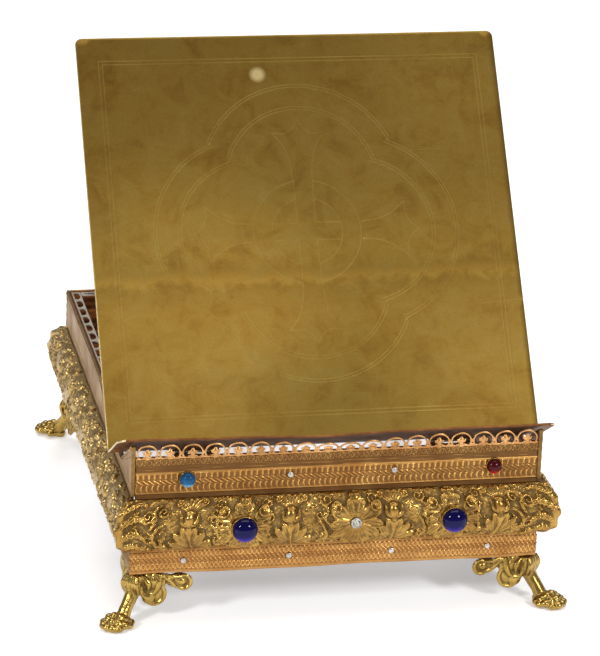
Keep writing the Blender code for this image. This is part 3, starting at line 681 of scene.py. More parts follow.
def paint_corner(r, edge, hand):
    """Acanthus that folds round a corner; hand points away from it."""
    def p(*pairs):
        return [(edge + hand * x, y) for x, y in pairs]
    r.stroke(p((0, 2), (0, 20), (0, 34), (0, 49)), (3.0, 4.6, 2.4), 2.4, vein=0.6)
    for pts, widths in (
            (((1, 8), (7, 12), (13.5, 9), (17, 3.5)), (1.8, 3.6, 1.1)),
            (((1, 16), (8, 21.5), (15, 21), (20, 14.5)), (1.8, 4.0, 1.2)),
            (((1, 25), (7, 31.5), (14, 33), (20.5, 28.5)), (1.8, 4.0, 1.2)),
            (((1, 35), (6, 41), (12, 43.5), (18, 41.5)), (1.6, 3.4, 1.1)),
            (((1, 43), (5, 48), (10, 50.5), (15, 49.5)), (1.2, 2.2, 0.9)),
            (((22, 3), (25.4, 11), (24, 19), (28, 26), (33, 28.5)), (1.1, 2.4, 1.0)),
            (((22, 24), (25.5, 31), (24, 38), (29.5, 43)), (1.1, 2.6, 1.0)),
            (((35, 3), (31, 8), (29.5, 14), (34, 19.5)), (1.0, 2.2, 0.9))):
        r.stroke(p(*pts), widths, 2.9, vein=0.8, lobes=6)
    for x, y, radius, start, turn in ((17.4, 6.2, 4.0, 1.6, 1), (20.6, 18.0, 4.2, 1.2, -1),
                                      (20.0, 34.5, 4.6, -1.4, 1), (31.0, 37.0, 4.0, 0.2, -1),
                                      (30.6, 9.5, 3.2, 2.0, 1)):
        r.scroll(edge + hand * x, y, radius, 1.3, start, 1.3, 2.7, turn * hand)
    for x, y in ((11, 27), (13, 25.6), (12.4, 28.6), (27, 7), (28.6, 5), (29, 16.2),
                 (30, 22.0), (32, 23.6), (9.5, 37), (12, 37.4), (22.6, 46.6), (25.4, 47.8),
                 (24.0, 49.6), (33, 45.4), (35, 47)):
        r.boss(edge + hand * x, y, 1.35, 1.35, 2.2)


def painted_frieze(side, length):
    """The whole relief of one side, with each repeat struck a little differently."""
    _, half = side_place(side)
    reach = half + 10.5
    r = Relief(-reach, 2 * reach, length)
    rng = np.random.default_rng({"front": 5, "back": 6, "left": 8, "right": 9}[side])
    if side == "front":
        left, _ = middle("cobalt_glass_cabochon_left")
        centre, _ = middle("centre_boss")
        right, _ = middle("cobalt_glass_cabochon_right")
        flowers = ((left - 1.0, 9.5), (centre, 4.0), (right - 1.0, 9.5))
        lilies = (-109.5, -35.5, 40.5, 119.0)
    else:
        flowers = [(x, 4.0) for x in (-75, 0, 75)]
        lilies = (-112.5, -37.5, 37.5, 112.5)
        if half > 160:
            flowers = [(x, 4.0) for x in (-81, 0, 81)]
            lilies = (-122.0, -40.5, 40.5, 122.0)
    for _ in range(1100):
        r.boss(rng.uniform(-reach, reach), rng.uniform(1, length), rng.uniform(0.5, 1.3),
               rng.uniform(0.35, 0.6), rng.uniform(0.3, 0.8), rng.uniform(0, math.pi))
    marks = sorted([x for x, _ in flowers] + list(lilies))
    for a, b in zip(marks, marks[1:]):
        paint_gap(r, (a + b) / 2 + rng.uniform(-0.6, 0.6), (b - a) * 0.34, rng)
    for x in lilies:
        paint_lily(r, x + rng.uniform(-0.5, 0.5))
    for x, hub in flowers:
        paint_flower(r, x, hub)
    for hand in (-1, 1):
        paint_corner(r, -hand * reach, hand)
    shape = r.h.shape
    fine = crinkle(shape, (int(length / 1.1), int(2 * reach / 1.2)), rng)
    broad = crinkle(shape, (int(length / 3.4), int(2 * reach / 4.6)), rng)
    flat = np.clip(1.3 - r.h, 0, 1)
    r.h = r.h + (0.26 * fine + 0.22 * broad) * flat + 0.06 * fine + 0.20 * broad
    if side == "front":
        for x, radius in ((left, 9.9), (centre, 4.2), (right, 9.9)):
            near = np.hypot(r.x - x, r.y - FLOWER_Y)
            r.h = np.where(near < radius, np.minimum(r.h, 1.0), r.h)
    return r


def frieze_profile(rows):
    """Base line of the bulge from bottom to top, its outward normals, its length."""
    line, length = smooth_curve(BULGE, rows)
    line = line * (0.90, 1.0)
    slope = np.gradient(line, axis=0)
    slope /= np.linalg.norm(slope, axis=1)[:, None]
    normal = np.stack([slope[:, 1], -slope[:, 0]], 1)
    return line, normal, length


def make_friezes():
    rows = 140
    line, normal, length = frieze_profile(rows)
    t = np.linspace(0, length, rows)[:, None]
    edge = np.clip(t / 6.5, 0, 1) ** 0.8 * np.clip((length - t) / 4.0, 0, 1) ** 0.8
    for side in ("front", "back", "left", "right"):
        _, half = side_place(side)
        grain = {"front": 0.50, "left": 0.58}.get(side, 0.62)
        cols = int(2 * (half + 12) / grain)
        c = np.linspace(-1, 1, cols)[None, :]
        reach = half + line[:, :1]
        u = c * reach
        to_corner = (1 - np.abs(c)) * (half + 10.5)
        relief = painted_frieze(side, length)
        yy = np.broadcast_to(t, (rows, cols))
        xx = np.broadcast_to(c * (half + 10.5), (rows, cols))
        h = relief.look_up(xx, yy)
        # both sheets meet at one height on the mitre
        meet = np.clip(to_corner / 3.5, 0, 1)
        knob = 2.2 + 0.7 * np.sin(t * 0.55 + 0.5)
        h = (h * meet + knob * (1 - meet)) * edge
        soft = blurred(h, 4)
        wide = blurred(h, 10)
        # Recess mask: places deeper than the blurred relief count as hollows and are darkened
        # with dust and painted shade.
        hollow = np.clip(0.30 + (soft - h) * 0.85 + (wide - h) * 0.22, 0, 1)
        o = line[:, :1] + h * normal[:, :1]
        z = line[:, 1:] + h * normal[:, 1:]
        near = np.clip(1 - to_corner / 9.0, 0, 1)
        near = near * near * (3 - 2 * near)
        u = u + np.sign(c) * near * (o - line[:, :1]) - np.sign(c) * near * 0.15
        style = "frieze" if side == "front" else "side_frieze"
        panel = closed_panel(side + "_embossed_frieze", side, u, o, z, -BAND_T,
                             style, hollow)
        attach(panel, "frame")
        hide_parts(side + "_frieze")


# ---------------------------------------------------------------- bands

def window(z, low_z, high_z, soft=0.35):
    """1 between two heights, 0 outside."""
    return 1 / (1 + np.exp(-(z - low_z) / (soft * 0.3))) \
        * 1 / (1 + np.exp((z - high_z) / (soft * 0.3)))


def worn(u, z, seed):
    """Slow patches of wear, 0.6 to 1."""
    return 0.82 + 0.18 * np.sin(u / 17.0 + seed) * np.sin(z / 5.0 + u / 41.0 + seed * 2)


TICK_PITCH = 4.0
RING_ROW_PITCH = 3.3


def upper_relief(u, z):
    """Chased rows on the front's upper band: (outward, hollow)."""
    o = np.full(u.shape, -0.35)
    sag = 0.25 * np.sin(u / 31.0)
    row = u / TICK_PITCH + sag
    tick = np.exp(-(((row + 0.5) % 1.0 - 0.5) / 0.15) ** 2)
    low = ((row + 0.35 + 0.5) % 1.0 - 0.5)
    hook = np.exp(-((low + 0.10 * np.sin((z - 100) * 0.9)) / 0.14) ** 2)
    bars = window(z, 109.2, 113.2) * tick + window(z, 99.6, 104.3) * hook \
        + 0.45 * window(z, 112.9, 113.7)
    slant = window(z, 105.0, 108.6) * np.exp(
        -((((u + (z - 105.0) * 1.45) / TICK_PITCH + sag + 0.5) % 1.0 - 0.5) / 0.19) ** 2)
    chain = window(z, 99.2, 113.8)
    o += chain * (-0.60) + (bars * 1.15 + slant * 1.5) * worn(u, z, 1.0)
    o += 0.35 * window(z, 98.4, 99.2) + 0.30 * window(z, 113.9, 114.8)
    o += window(z, 94.8, 98.2) * -0.9
    o -= 0.9 * np.sqrt(np.clip(1 - ((z - 117.2) / 2.6) ** 2, 0, 1))
    grain = np.sin(u * 2.9 + 2.0 * np.sin(z * 1.7)) * np.sin(z * 3.1 + 1.6 * np.sin(u * 1.1))
    o += window(z, 119.9, 124.2) * (0.05 + 0.34 * grain)
    # hollow: dust and painted shade between the raised bars and in the bottom cove; the darker
    # cove and textured strip at the top are the lip's painted shadow, and the lighter streaks
    # across that cove are painted highlights.
    hollow = 0.40 + chain * (0.38 - 0.85 * np.maximum(bars, slant))
    streak = np.sin(u / 17.0 + 1.2 * np.sin(u / 7.3)) * np.sin(z * 2.3 + u / 29.0)
    hollow = hollow + window(z, 94.7, 98.3) * 0.55 \
        + window(z, 114.9, 119.6) * (0.80 - 0.62 * np.clip(streak, 0, 1)) \
        + window(z, 119.8, 124.2) * (0.52 - 0.60 * grain)
    return o, np.clip(hollow, 0, 1)


def oval_row(u, z, pitch, middle_z, tall, shift=0.0):
    """Row of small oval rings that touch each other."""
    x = ((u / pitch + shift + 0.5) % 1.0 - 0.5) * pitch
    r = np.hypot(x / (pitch * 0.40), (z - middle_z) / tall)
    return np.exp(-((r - 1.0) / 0.30) ** 2) + 0.45 * np.exp(-(r / 0.35) ** 2)


def lower_relief(u, z):
    """Chased rows on a lower band: (outward, hollow)."""
    o = np.full(u.shape, -0.50)
    wander = 0.3 * np.sin(u / 23.0)
    rings = oval_row(u + wander, z, RING_ROW_PITCH, 50.3, 2.1) \
        + oval_row(u - wander, z, RING_ROW_PITCH, 41.2, 2.1, 0.4)
    beads = window(z, 44.3, 47.2) * np.exp(-((((u + (z - 44.3) * 0.9) / RING_ROW_PITCH
                                              + 0.5) % 1.0 - 0.5) / 0.24) ** 2)
    o += (rings * 0.90 + beads * 1.20) * worn(u, z, 2.0)
    o += 0.35 * window(z, 36.2, 37.9) + 0.25 * window(z, 53.5, 54.3)
    # hollow: dust and painted shade between the raised rings and beads, less on the two ridges.
    hollow = 0.80 - 0.78 * np.maximum(rings, beads) - 0.35 * window(z, 36, 38.2) \
        - 0.3 * window(z, 53.2, 56)
    return o, np.clip(hollow, 0, 1)


def plain_relief(u, z):
    """Upper band of the other sides: smooth, two shallow lines, a rolled rim."""
    o = np.full(u.shape, -0.30)
    o += 0.12 * np.sin(u / 19.0) * np.sin(z / 6.0)
    o += -0.45 * window(z, 94.0, 97.6)
    o += -0.30 * window(z, 103.2, 104.0) - 0.25 * window(z, 119.6, 120.4)
    roll = np.clip(1 - ((z - 124.9) / 1.6) ** 2, 0, 1) ** 0.5
    o += 1.25 * roll
    # hollow: dust and painted shade in the two lines and the bottom groove, less on the rolled
    # rim.
    hollow = 0.42 + 0.4 * window(z, 103.2, 104.0) + 0.3 * window(z, 119.6, 120.4) \
        + 0.4 * window(z, 94.0, 97.8) - 0.3 * roll
    return o, np.clip(hollow, 0, 1)


def rim_height(y):
    """Level of the side walls' edge: it rises beside the lip and dips at the fold."""
    ys = [-400.0, -169.0, -155.2, -154.3] + [p[0] for p in DIP[1:]] + [400.0]
    zs = [134.8, 134.8, 126.6, 125.4] + [p[1] for p in DIP[1:]] + [RIM_Z + 1.0]
    return np.where(y < -154.3, np.interp(y, ys, zs),
                    np.minimum(RIM_Z, np.interp(y, ys, zs)))


def band_grid(reach, low_z, high_z, along, up):
    u = np.linspace(-reach, reach, int(2 * reach / along))[None, :]
    z = np.linspace(low_z, high_z, int((high_z - low_z) / up))[:, None]
    shape = (z.shape[0], u.shape[1])
    return np.broadcast_to(u, shape).copy(), np.broadcast_to(z, shape).copy()


def make_bands():
    fine = 0.36
    for side in ("front", "back", "left", "right"):
        _, half = side_place(side)
        step = fine if side == "front" else max(fine, 0.55)
        top_z = FRONT_RIM_Z if side == "front" else RIM_Z
        u, z = band_grid(half - POST - GAP, BAND_LOW_Z, top_z, step, step)
        if side == "front":
            o, hollow = upper_relief(u, z)
            style = "band"
        else:
            o, hollow = plain_relief(u, z)
            style = "side_band"
        if side in ("left", "right"):
            y = -u if side == "left" else u
            top = rim_height(y)
            start = 101.0
            z = np.where(z > start, start + (z - start) * (top - start) / (RIM_Z - start), z)
        panel = closed_panel(side + "_chased_upper_band", side, u, o, z, -BAND_T, style,
                             hollow)
        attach(panel, "frame")
        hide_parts(side + "_upper_band")

        u, z = band_grid(half - GAP / 2, FOOT_Z, FRIEZE_LOW_Z - GAP, step, step)
        o, hollow = lower_relief(u, z)
        wave = 0.35 * np.sin(u / 27.0 + 0.4) + 0.2 * np.sin(u / 11.0)
        z = z + wave * np.clip((z - FRIEZE_LOW_Z + 1) / (FOOT_Z - FRIEZE_LOW_Z), 0, 1) \
            * np.clip((half - np.abs(u)) / 20.0, 0, 1)
        u = u + np.sign(u) * o * (np.abs(u) > half - 0.6)
        style = "lower_band" if side == "front" else "side_band"
        panel = closed_panel(side + "_chased_lower_band", side, u, o, z, -BAND_T, style,
                             hollow)
        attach(panel, "frame")
        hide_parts(side + "_lower_band")


def make_walls():
    """Back faces of the embossed sheet: ridged and tarnished."""
    for side in ("front", "back", "left", "right"):
        half = side_place(side)[1]
        wide = side in ("left", "right")
        reach = half + WALL_OUT if wide else half + WALL_IN - GAP
        u, z = band_grid(reach, FOOT_Z, RIM_Z - 0.1, 1.6, 0.9)
        ridge = 0.22 * np.sin(z * 1.05) + 0.16 * np.sin(z * 0.42 + 0.8)
        ridge += 0.18 * np.sin(u * 0.21 + np.sin(z * 0.3)) * np.sin(z * 0.19)
        o = WALL_IN + 0.2 + ridge * 0.5
        if wide:
            y = -u if side == "left" else u
            top = rim_height(y) - 0.1
            z = np.where(z > 60.0, 60.0 + (z - 60.0) * (top - 60.0) / (RIM_Z - 60.1), z)
        panel = closed_panel(side + "_inner_sheet", side, u, o, z, WALL_OUT, "inside",
                             np.clip(0.5 - ridge * 0.8, 0, 1))
        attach(panel, "frame")
        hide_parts(side + "_wall")


# ---------------------------------------------------------------- tubes and castings

class Shells:
    """Closed shells gathered into one mesh."""

    def __init__(self):
        self.verts, self.faces = [], []

    def grid(self, rows):
        """rows: rings of equal length; both ends are capped."""
        start = sum(len(v) for v in self.verts)
        rows = np.asarray(rows, float)
        n, m = rows.shape[:2]
        self.verts.append(rows.reshape(-1, 3))
        for i in range(n - 1):
            for j in range(m):
                a, b = start + i * m + j, start + i * m + (j + 1) % m
                self.faces.append((a, b, b + m, a + m))
        self.faces.append(tuple(range(start, start + m)))
        self.faces.append(tuple(range(start + (n - 1) * m, start + n * m)))

    def tube(self, points, radii, squash=(1.0, 1.0), flat_axis=(0, 1, 0), sides=10):
        """A tapering tube; squash scales it across and along flat_axis."""
        line, _ = smooth_curve(points, max(8, 5 * len(points)))
        radius = np.interp(np.linspace(0, 1, len(line)),
                           np.linspace(0, 1, len(radii)), radii)
        run = np.gradient(line, axis=0)
        run /= np.linalg.norm(run, axis=1)[:, None]
        axis = np.asarray(flat_axis, float)
        across = np.cross(run, axis)
        across /= np.linalg.norm(across, axis=1)[:, None] + 1e-9
        other = np.cross(across, run)
        rows = []
        caps = ((0, 0.45, -0.75), *((i, 1.0, 0.0) for i in range(len(line))),
                (len(line) - 1, 0.45, 0.75))
        for i, shrink, push in caps:
            angles = np.linspace(0, 2 * math.pi, sides, endpoint=False)[:, None]
            r = radius[i] * shrink
            rows.append(line[i] + run[i] * push * radius[i] * min(squash)
                        + across[i] * np.cos(angles) * r * squash[0]
                        + other[i] * np.sin(angles) * r * squash[1])
        self.grid(rows)

    def ball(self, centre, radii, turn=0.0, sides=14):
        """An ellipsoid, turned about the up axis."""
        rows = []
        c, s = math.cos(turn), math.sin(turn)
        for i in range(1, sides // 2 + 3):
            lat = math.pi * i / (sides // 2 + 3) - math.pi / 2
            ring = []
            for j in range(sides):
                lon = 2 * math.pi * j / sides
                x = radii[0] * math.cos(lat) * math.cos(lon)
                y = radii[1] * math.cos(lat) * math.sin(lon)
                z = radii[2] * math.sin(lat)
                ring.append((centre[0] + x * c - y * s, centre[1] + x * s + y * c,
                             centre[2] + z))
            rows.append(ring)
        self.grid(rows)

    def mesh(self, name, material, remap=None, smooth=True):
        verts = np.vstack(self.verts)
        if remap:
            verts = remap(verts)
        return make_object(name, verts, self.faces, material, smooth)


def fuse(obj, voxel, passes=2, floor=None, gain=2.2):
    """Voxel remesh into one skin, smooth it, and mark its hollows."""
    mod = obj.modifiers.new("fuse", "REMESH")
    mod.mode = "VOXEL"
    mod.voxel_size = voxel * MM
    graph = bpy.context.evaluated_depsgraph_get()
    mesh = bpy.data.meshes.new_from_object(obj.evaluated_get(graph))
    obj.modifiers.clear()
    old, materials = obj.data, list(obj.data.materials)
    obj.data = mesh
    bpy.data.meshes.remove(old)
    mesh.materials.clear()
    for material in materials:
        mesh.materials.append(material)
    co = np.empty(len(mesh.vertices) * 3)
    mesh.vertices.foreach_get("co", co)
    co = co.reshape(-1, 3)
    ends = np.empty(len(mesh.edges) * 2, int)
    mesh.edges.foreach_get("vertices", ends)
    ends = ends.reshape(-1, 2)
    count = np.bincount(ends.ravel(), minlength=len(co))[:, None]

    def relaxed(values):
        total = np.zeros_like(values)
        np.add.at(total, ends[:, 0], values[ends[:, 1]])
        np.add.at(total, ends[:, 1], values[ends[:, 0]])
        return total / count

    for _ in range(passes):
        co = 0.5 * co + 0.5 * relaxed(co)
    soft = co
    for _ in range(7):
        soft = relaxed(soft)
    if floor is not None:
        co[:, 2] = np.maximum(co[:, 2], floor * MM)
    mesh.vertices.foreach_set("co", co.ravel())
    mesh.update()
    normal = np.empty(len(co) * 3)
    mesh.vertices.foreach_get("normal", normal)
    # Concave places get a higher hollow value: dust and painted shade in the creases of the
    # castings and the gallery.
    bend = ((soft - co) * normal.reshape(-1, 3)).sum(1) / MM
    layer = mesh.attributes.new("hollow", "FLOAT", "POINT")
    layer.data.foreach_set("value", np.clip(0.35 + bend * gain, 0, 1).astype(np.float32))
    mesh.polygons.foreach_set("use_smooth", [True] * len(mesh.polygons))
    return obj


# ---------------------------------------------------------------- galleries and posts

RINGS = 18
RING_PITCH = 16.3
SILL_Z = 125.0


def make_front_gallery():
    shells = Shells()
    mid = 1.0
    reach = HALF_X - POST - GAP
    base = SILL_Z + 0.3
    shells.tube([(-reach, mid, base), (0, mid, base), (reach, mid, base)], (0.95, 0.95),
                (0.8, 0.62), sides=8)
    for i in range(RINGS):
        x = (i - (RINGS - 1) / 2) * RING_PITCH
        lean = math.exp(-((i - 8.6) / 2.6) ** 2)
        top = 1 - 0.30 * lean

        def at(px, h):
            """h above the sill; worn rings in the middle are pressed down and out."""
            return (x + px, mid - 3.4 * lean * (h / 11) ** 2, SILL_Z + h * top)

        arch = [at(7.2 * math.cos(a), 3.9 + 6.1 * math.sin(a))
                for a in np.linspace(-0.78, math.pi + 0.78, 17)]
        shells.tube(arch, (0.8, 0.72, 0.85, 0.72, 0.8), (1.0, 0.62), sides=8)
        shells.tube([at(0, -0.2), at(0, 1.8), at(0, 4.2), at(0, 7.4)], (2.3, 1.5, 2.8, 0.6),
                    (1.0, 0.42), sides=8)
        for s in (-1, 1):
            shells.tube([at(s * 0.9, 2.6), at(s * 2.5, 3.9), at(s * 3.0, 5.4)],
                        (0.5, 0.9, 0.5), (1.0, 0.5), sides=8)
            shells.tube([at(s * 1.0, 0.9), at(s * 2.4, 1.3), at(s * 3.6, 0.7)],
                        (0.6, 0.8, 0.4), (1.0, 0.5), sides=8)
        if i < RINGS - 1:
            shells.ball((x + RING_PITCH / 2, mid - 0.5 * lean, SILL_Z + 3.9 * top),
                        (1.4, 0.62, 1.5))
            shells.ball((x + RING_PITCH / 2, mid, SILL_Z + 0.7), (2.9, 0.6, 1.1))
    obj = shells.mesh("ring_gallery", "rim", lambda v: v + (0, -HALF_Y, 0))
    fuse(obj, 0.27, 1, gain=3.0)
    obj.data.materials[0] = MATERIALS["gallery"]
    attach(obj, "frame")
    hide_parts("front_gallery")


def make_posts():
    """Corner strips with softened, slightly uneven edges."""
    for node in ("corner_post_front_left", "corner_post_front_right",
                 "corner_post_back_left", "corner_post_back_right"):
        lo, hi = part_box(node)
        cx, cy = (lo.x + hi.x) / 2 / MM, (lo.y + hi.y) / 2 / MM
        half = (hi.x - lo.x) / 2 / MM
        levels = np.concatenate([[lo.z / MM, lo.z / MM + 0.3],
                                 np.linspace(lo.z / MM + 2, hi.z / MM - 2, 24),
                                 [hi.z / MM - 0.3, hi.z / MM]])
        shells, rows = Shells(), []
        for i, z in enumerate(levels):
            inset = 0.3 if i in (0, len(levels) - 1) else 0.0
            h = half - inset + 0.10 * math.sin(z * 0.9)
            c = h - 0.45
            rows.append([(cx + a, cy + b, z) for a, b in (
                (-h, -c), (-c, -h), (c, -h), (h, -c), (h, c), (c, h), (-c, h), (-h, c))])
        shells.grid(rows)
        name = node.replace("corner_post", "corner_strip")
        obj = shells.mesh(name, "rim", smooth=False)
        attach(obj, "frame")
        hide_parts(node)


# ---------------------------------------------------------------- feet

def foot_wing(shells, swap):
    """One scrolled wing; u runs from the corner, b is in from the face."""
    def p(u, b, z):
        return (b, u, z) if swap else (u, b, z)

    axis = (1, 0, 0) if swap else (0, 1, 0)

    def tube(points, radii, squash=(1.0, 1.0)):
        shells.tube([p(*q) for q in points], radii, squash, axis)

    shells.ball(p(15, 3.4, 30), p(15, 2.4, 7.5))
    shells.ball(p(18.4, 3.4, 20.0), p(8.6, 2.5, 8.4))
    shells.ball(p(14.6, 1.6, 16.8), p(4.9, 2.6, 4.6))
    rim = [(18.6 + 7.9 * math.cos(a), 1.9, 19.6 + 7.9 * math.sin(a))
           for a in np.linspace(-2.7, 1.25, 12)]
    tube(rim, (1.0, 1.7, 1.7, 1.5, 1.0))
    tube([(22.5, 1.2, 34.5), (21.4, 0.5, 27), (18.6, 0.6, 21.5), (14, 0.9, 18.5)],
         (1.5, 2.4, 1.8, 0.9))
    tube([(10.5, 1.4, 33.5), (13.8, 0.3, 29), (14.2, 0.6, 23.5)], (1.6, 2.9, 1.0))
    tube([(16.8, 1.8, 34), (18, 1.0, 29.5), (17.4, 1.2, 25)], (0.9, 1.6, 0.7))
    tube([(9, 1.6, 27), (9.6, 1.0, 21.5), (10.6, 1.6, 16.5)], (1.1, 1.7, 0.9))
    tube([(25.5, 2.0, 33), (25.4, 1.4, 27.5), (26, 2.0, 22)], (1.0, 1.4, 0.8))
    shells.ball(p(36.5, 3.6, 28.8), p(9.6, 2.2, 6.2))
    end = [(39.8 + 5.4 * math.cos(a), 1.9, 28.0 + 5.4 * math.sin(a))
           for a in np.linspace(-2.9, 2.2, 12)]
    tube(end, (0.9, 1.5, 1.6, 1.4, 0.9))
    shells.ball(p(38.8, 1.9, 28.4), p(3.2, 2.0, 2.9))
    tube([(24, 1.2, 34.4), (29.5, 0.8, 30.4), (34, 1.2, 25.0), (39.5, 1.7, 23.2)],
         (1.2, 2.0, 1.5, 0.8))
    tube([(26, 1.4, 34.8), (33, 0.9, 32.8), (38.6, 1.3, 32.6)], (1.1, 1.7, 0.9))
    tube([(3.0, 1.0, 35), (6.4, 0.4, 30), (7.6, 1.2, 23.5)], (1.5, 2.7, 0.9))


def foot_shells():
    shells = Shells()
    foot_wing(shells, False)
    foot_wing(shells, True)
    d = (math.sqrt(0.5), math.sqrt(0.5))

    def out(r, side, z):
        """r outwards on the diagonal, side across it."""
        return (-r * d[0] + side * d[1], -r * d[1] - side * d[0], z)

    across = (d[1], -d[0], 0)
    shells.ball(out(-8.0, 0, 30), (6.8, 6.8, 8.0))
    shells.tube([out(-8, 0, 34), out(-6.4, 0, 25), out(-2.4, 0, 18), out(3.4, 0, 11),
                 out(7.0, 0, 5)], (7.0, 6.6, 5.2, 4.8, 5.4), flat_axis=across)
    for side, tip, spread in ((0, 2.6, 0.0), (-3.4, 1.0, 0.8), (3.4, 1.0, 0.8),
                              (-6.0, -2.4, 1.3), (6.0, -2.4, 1.3)):
        shells.tube([out(-2.4, side * 0.8, 35), out(-0.9, side, 29), out(-1.2 - spread, side, 23),
                     out(tip - 2.0, side * 0.75, 18.2 + spread)], (1.1, 1.9, 1.6, 0.9),
                    flat_axis=across)
    for side in (-5.2, -3.2, -1.2, 1.2, 3.2, 5.2):
        shells.tube([out(-1.6, side, 34.5), out(-0.7, side * 1.1, 30), out(-1.4, side, 25.5)],
                    (0.6, 1.0, 0.5), flat_axis=across)
    shells.tube([out(1.6, -3.6, 13.6), out(5.0, 0, 12.6), out(1.6, 3.6, 13.6)],
                (0.8, 1.0, 0.8), flat_axis=(0, 0, 1))
    shells.tube([out(-0.4, -4.2, 16.0), out(2.6, 0, 15.2), out(-0.4, 4.2, 16.0)],
                (0.9, 1.2, 0.9), flat_axis=(0, 0, 1))
    turn = math.atan2(-d[1], -d[0])
    shells.ball(out(12.5, 0, 3.6), (11.0, 9.0, 4.2), turn)
    shells.ball(out(10.6, 0, 6.2), (6.8, 6.2, 3.8), turn)
    toes = ((20.0, -5.6, 3.9, 3.7), (21.6, -1.4, 4.1, 3.7), (20.8, 3.0, 4.0, 3.8),
            (18.2, 7.0, 3.8, 3.5), (16.0, -8.4, 4.4, 3.5), (15.8, -4.2, 7.4, 3.6),
            (17.2, 0.4, 7.8, 3.5), (15.6, 4.6, 7.2, 3.6), (13.0, 8.4, 5.2, 3.6),
            (11.2, -7.0, 7.0, 3.8), (11.6, -2.2, 9.6, 3.8), (11.2, 3.0, 9.4, 3.9),
            (8.6, 6.8, 7.0, 3.6), (6.6, -7.8, 4.6, 3.6), (5.4, 7.4, 4.4, 3.6),
            (8.4, 9.2, 3.4, 3.0), (2.6, 0.0, 3.6, 5.4))
    rng = np.random.default_rng(3)
    for r, side, z, size in toes:
        size = size * rng.uniform(0.9, 1.05)
        shells.ball(out(r + 2.2, side, z * 0.88), (size, size * 0.92, size * 0.80), turn)
    return shells


def make_feet():
    shells = foot_shells()
    for node, sx, sy in (("front_left_foot", -1, -1), ("front_right_foot", 1, -1),
                         ("back_left_foot", -1, 1), ("back_right_foot", 1, 1)):
        def place(v, sx=sx, sy=sy):
            w = v.copy()
            w[:, 2] = np.minimum(w[:, 2], FOOT_Z - GAP)
            w[:, 0] = sx * (HALF_X - v[:, 0])
            w[:, 1] = sy * (HALF_Y - v[:, 1])
            return w
        obj = shells.mesh(node.replace("_foot", "_paw_foot"), "foot", place)
        fuse(obj, 0.55, 2, floor=0.0, gain=1.6)
        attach(obj, "frame")
        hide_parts(node)


# ---------------------------------------------------------------- stones and rivets

def lathe(name, x, z, profile, material, sides=64, hollow=False):
    """Turned about a line square to the front; profile is (radius, out) pairs."""
    shells, rows = Shells(), []
    for r, o in profile:
        rows.append([(x + r * math.cos(a), -(HALF_Y + o), z + r * math.sin(a))
                     for a in np.linspace(0, 2 * math.pi, sides, endpoint=False)])
    shells.grid(rows)
    obj = shells.mesh(name, material)
    if hollow:
        layer = obj.data.attributes.new("hollow", "FLOAT", "POINT")
        layer.data.foreach_set("value", [0.3] * len(obj.data.vertices))
    return obj


def dome(radius, base, straight, rise, steps=22):
    pts = [(radius * 0.9, base), (radius, base + 0.12 * straight), (radius, base + straight)]
    for i in range(1, steps + 1):
        a = math.pi / 2 * i / (steps + 0.6)
        pts.append((radius * math.cos(a), base + straight + rise * math.sin(a)))
    return pts


def cup(stem, inner, outer, seat, rim):
    """Collet: a stem through the front, a flat floor and a thin rim round the stone."""
    floor = seat + 1.5
    return [(stem * 0.8, -6.0), (stem, -5.8), (stem, seat), (outer - 0.2, seat),
            (outer, seat + 0.3), (outer - 0.1, rim - 0.5), ((inner + outer) / 2, rim),
            (inner + 0.05, rim - 0.3), (inner, floor), (0.3, floor)]


def fix(obj, node, body="frame"):
    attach(obj, body)
    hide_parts(node)


def make_stones():
    for side, hue, glass in (("left", "sky", "blue_glass"), ("right", "red", "red_glass")):
        x, z = middle("cobalt_glass_cabochon_" + side)
        fix(lathe("cobalt_stone_" + side, x, z, dome(9.1, 14.1, 0.8, 7.2), "cobalt"),
            "cobalt_glass_cabochon_" + side)
        fix(lathe("large_cup_" + side, x, z, cup(2.4, 9.2, 9.75, 12.3, 14.8), "collet"),
            "large_collet_" + side)
        x, z = middle(glass + "_cabochon_" + side)
        fix(lathe(glass + "_stone_" + side, x, z, dome(5.5, 0.9, 0.6, 4.6), hue),
            glass + "_cabochon_" + side)
        fix(lathe("small_cup_" + side, x, z, cup(1.4, 5.6, 6.1, -0.7, 1.3), "collet"),
            "small_collet_" + side)


def rivet(node, seat, radius, rise):
    x, z = middle(node)
    pts = [(0.55, -6.0), (1.2, -5.9), (1.2, seat), (radius * 0.97, seat),
           (radius, seat + 0.25 * rise)]
    for i in range(1, 8):
        a = math.pi / 2 * i / 8
        pts.append((radius * math.cos(a), seat + rise * (0.25 + 0.75 * math.sin(a))))
    obj = lathe(node.replace("rivet", "rivet_head"), x, z, pts, "steel", 28)
    fix(obj, node)


def make_rivets():
    for side in ("left", "right"):
        rivet("upper_rivet_" + side, 0.5, 2.2, 1.2)
    for place in ("outer_left", "inner_left", "inner_right", "outer_right"):
        rivet("lower_rivet_" + place, 0.1, 2.1, 1.1)
    x, z = middle("centre_boss")
    boss = lathe("centre_boss_head", x, z, [
        (2.6, 11.6), (4.0, 11.8), (4.1, 12.6), (3.5, 13.3), (3.0, 13.2), (2.7, 13.6),
        (2.4, 14.5), (1.6, 15.2), (0.7, 15.5)], "steel", 32)
    fix(boss, "centre_boss")


# ---------------------------------------------------------------- reading plate

CROSS_X = 2.0
CROSS_S = 163.5
LOBE_SHIFT = (38.5, 41.0)
GROOVE_HALF = 0.5
GROOVE_DEPTH = 0.13
LIP_CORNER = 8.0
TOP_CORNER = 5.0
EDGE_ROUND = 0.35
GRID_X = 5.2
GRID_T = 5.0
BACK_GRID = 9.0


def arc(cx, cs, radius, start, stop, step=1.6):
    count = max(3, int(abs(stop - start) * radius / step))
    return [(cx + radius * math.cos(a), cs + radius * math.sin(a))
            for a in np.linspace(start, stop, count)]


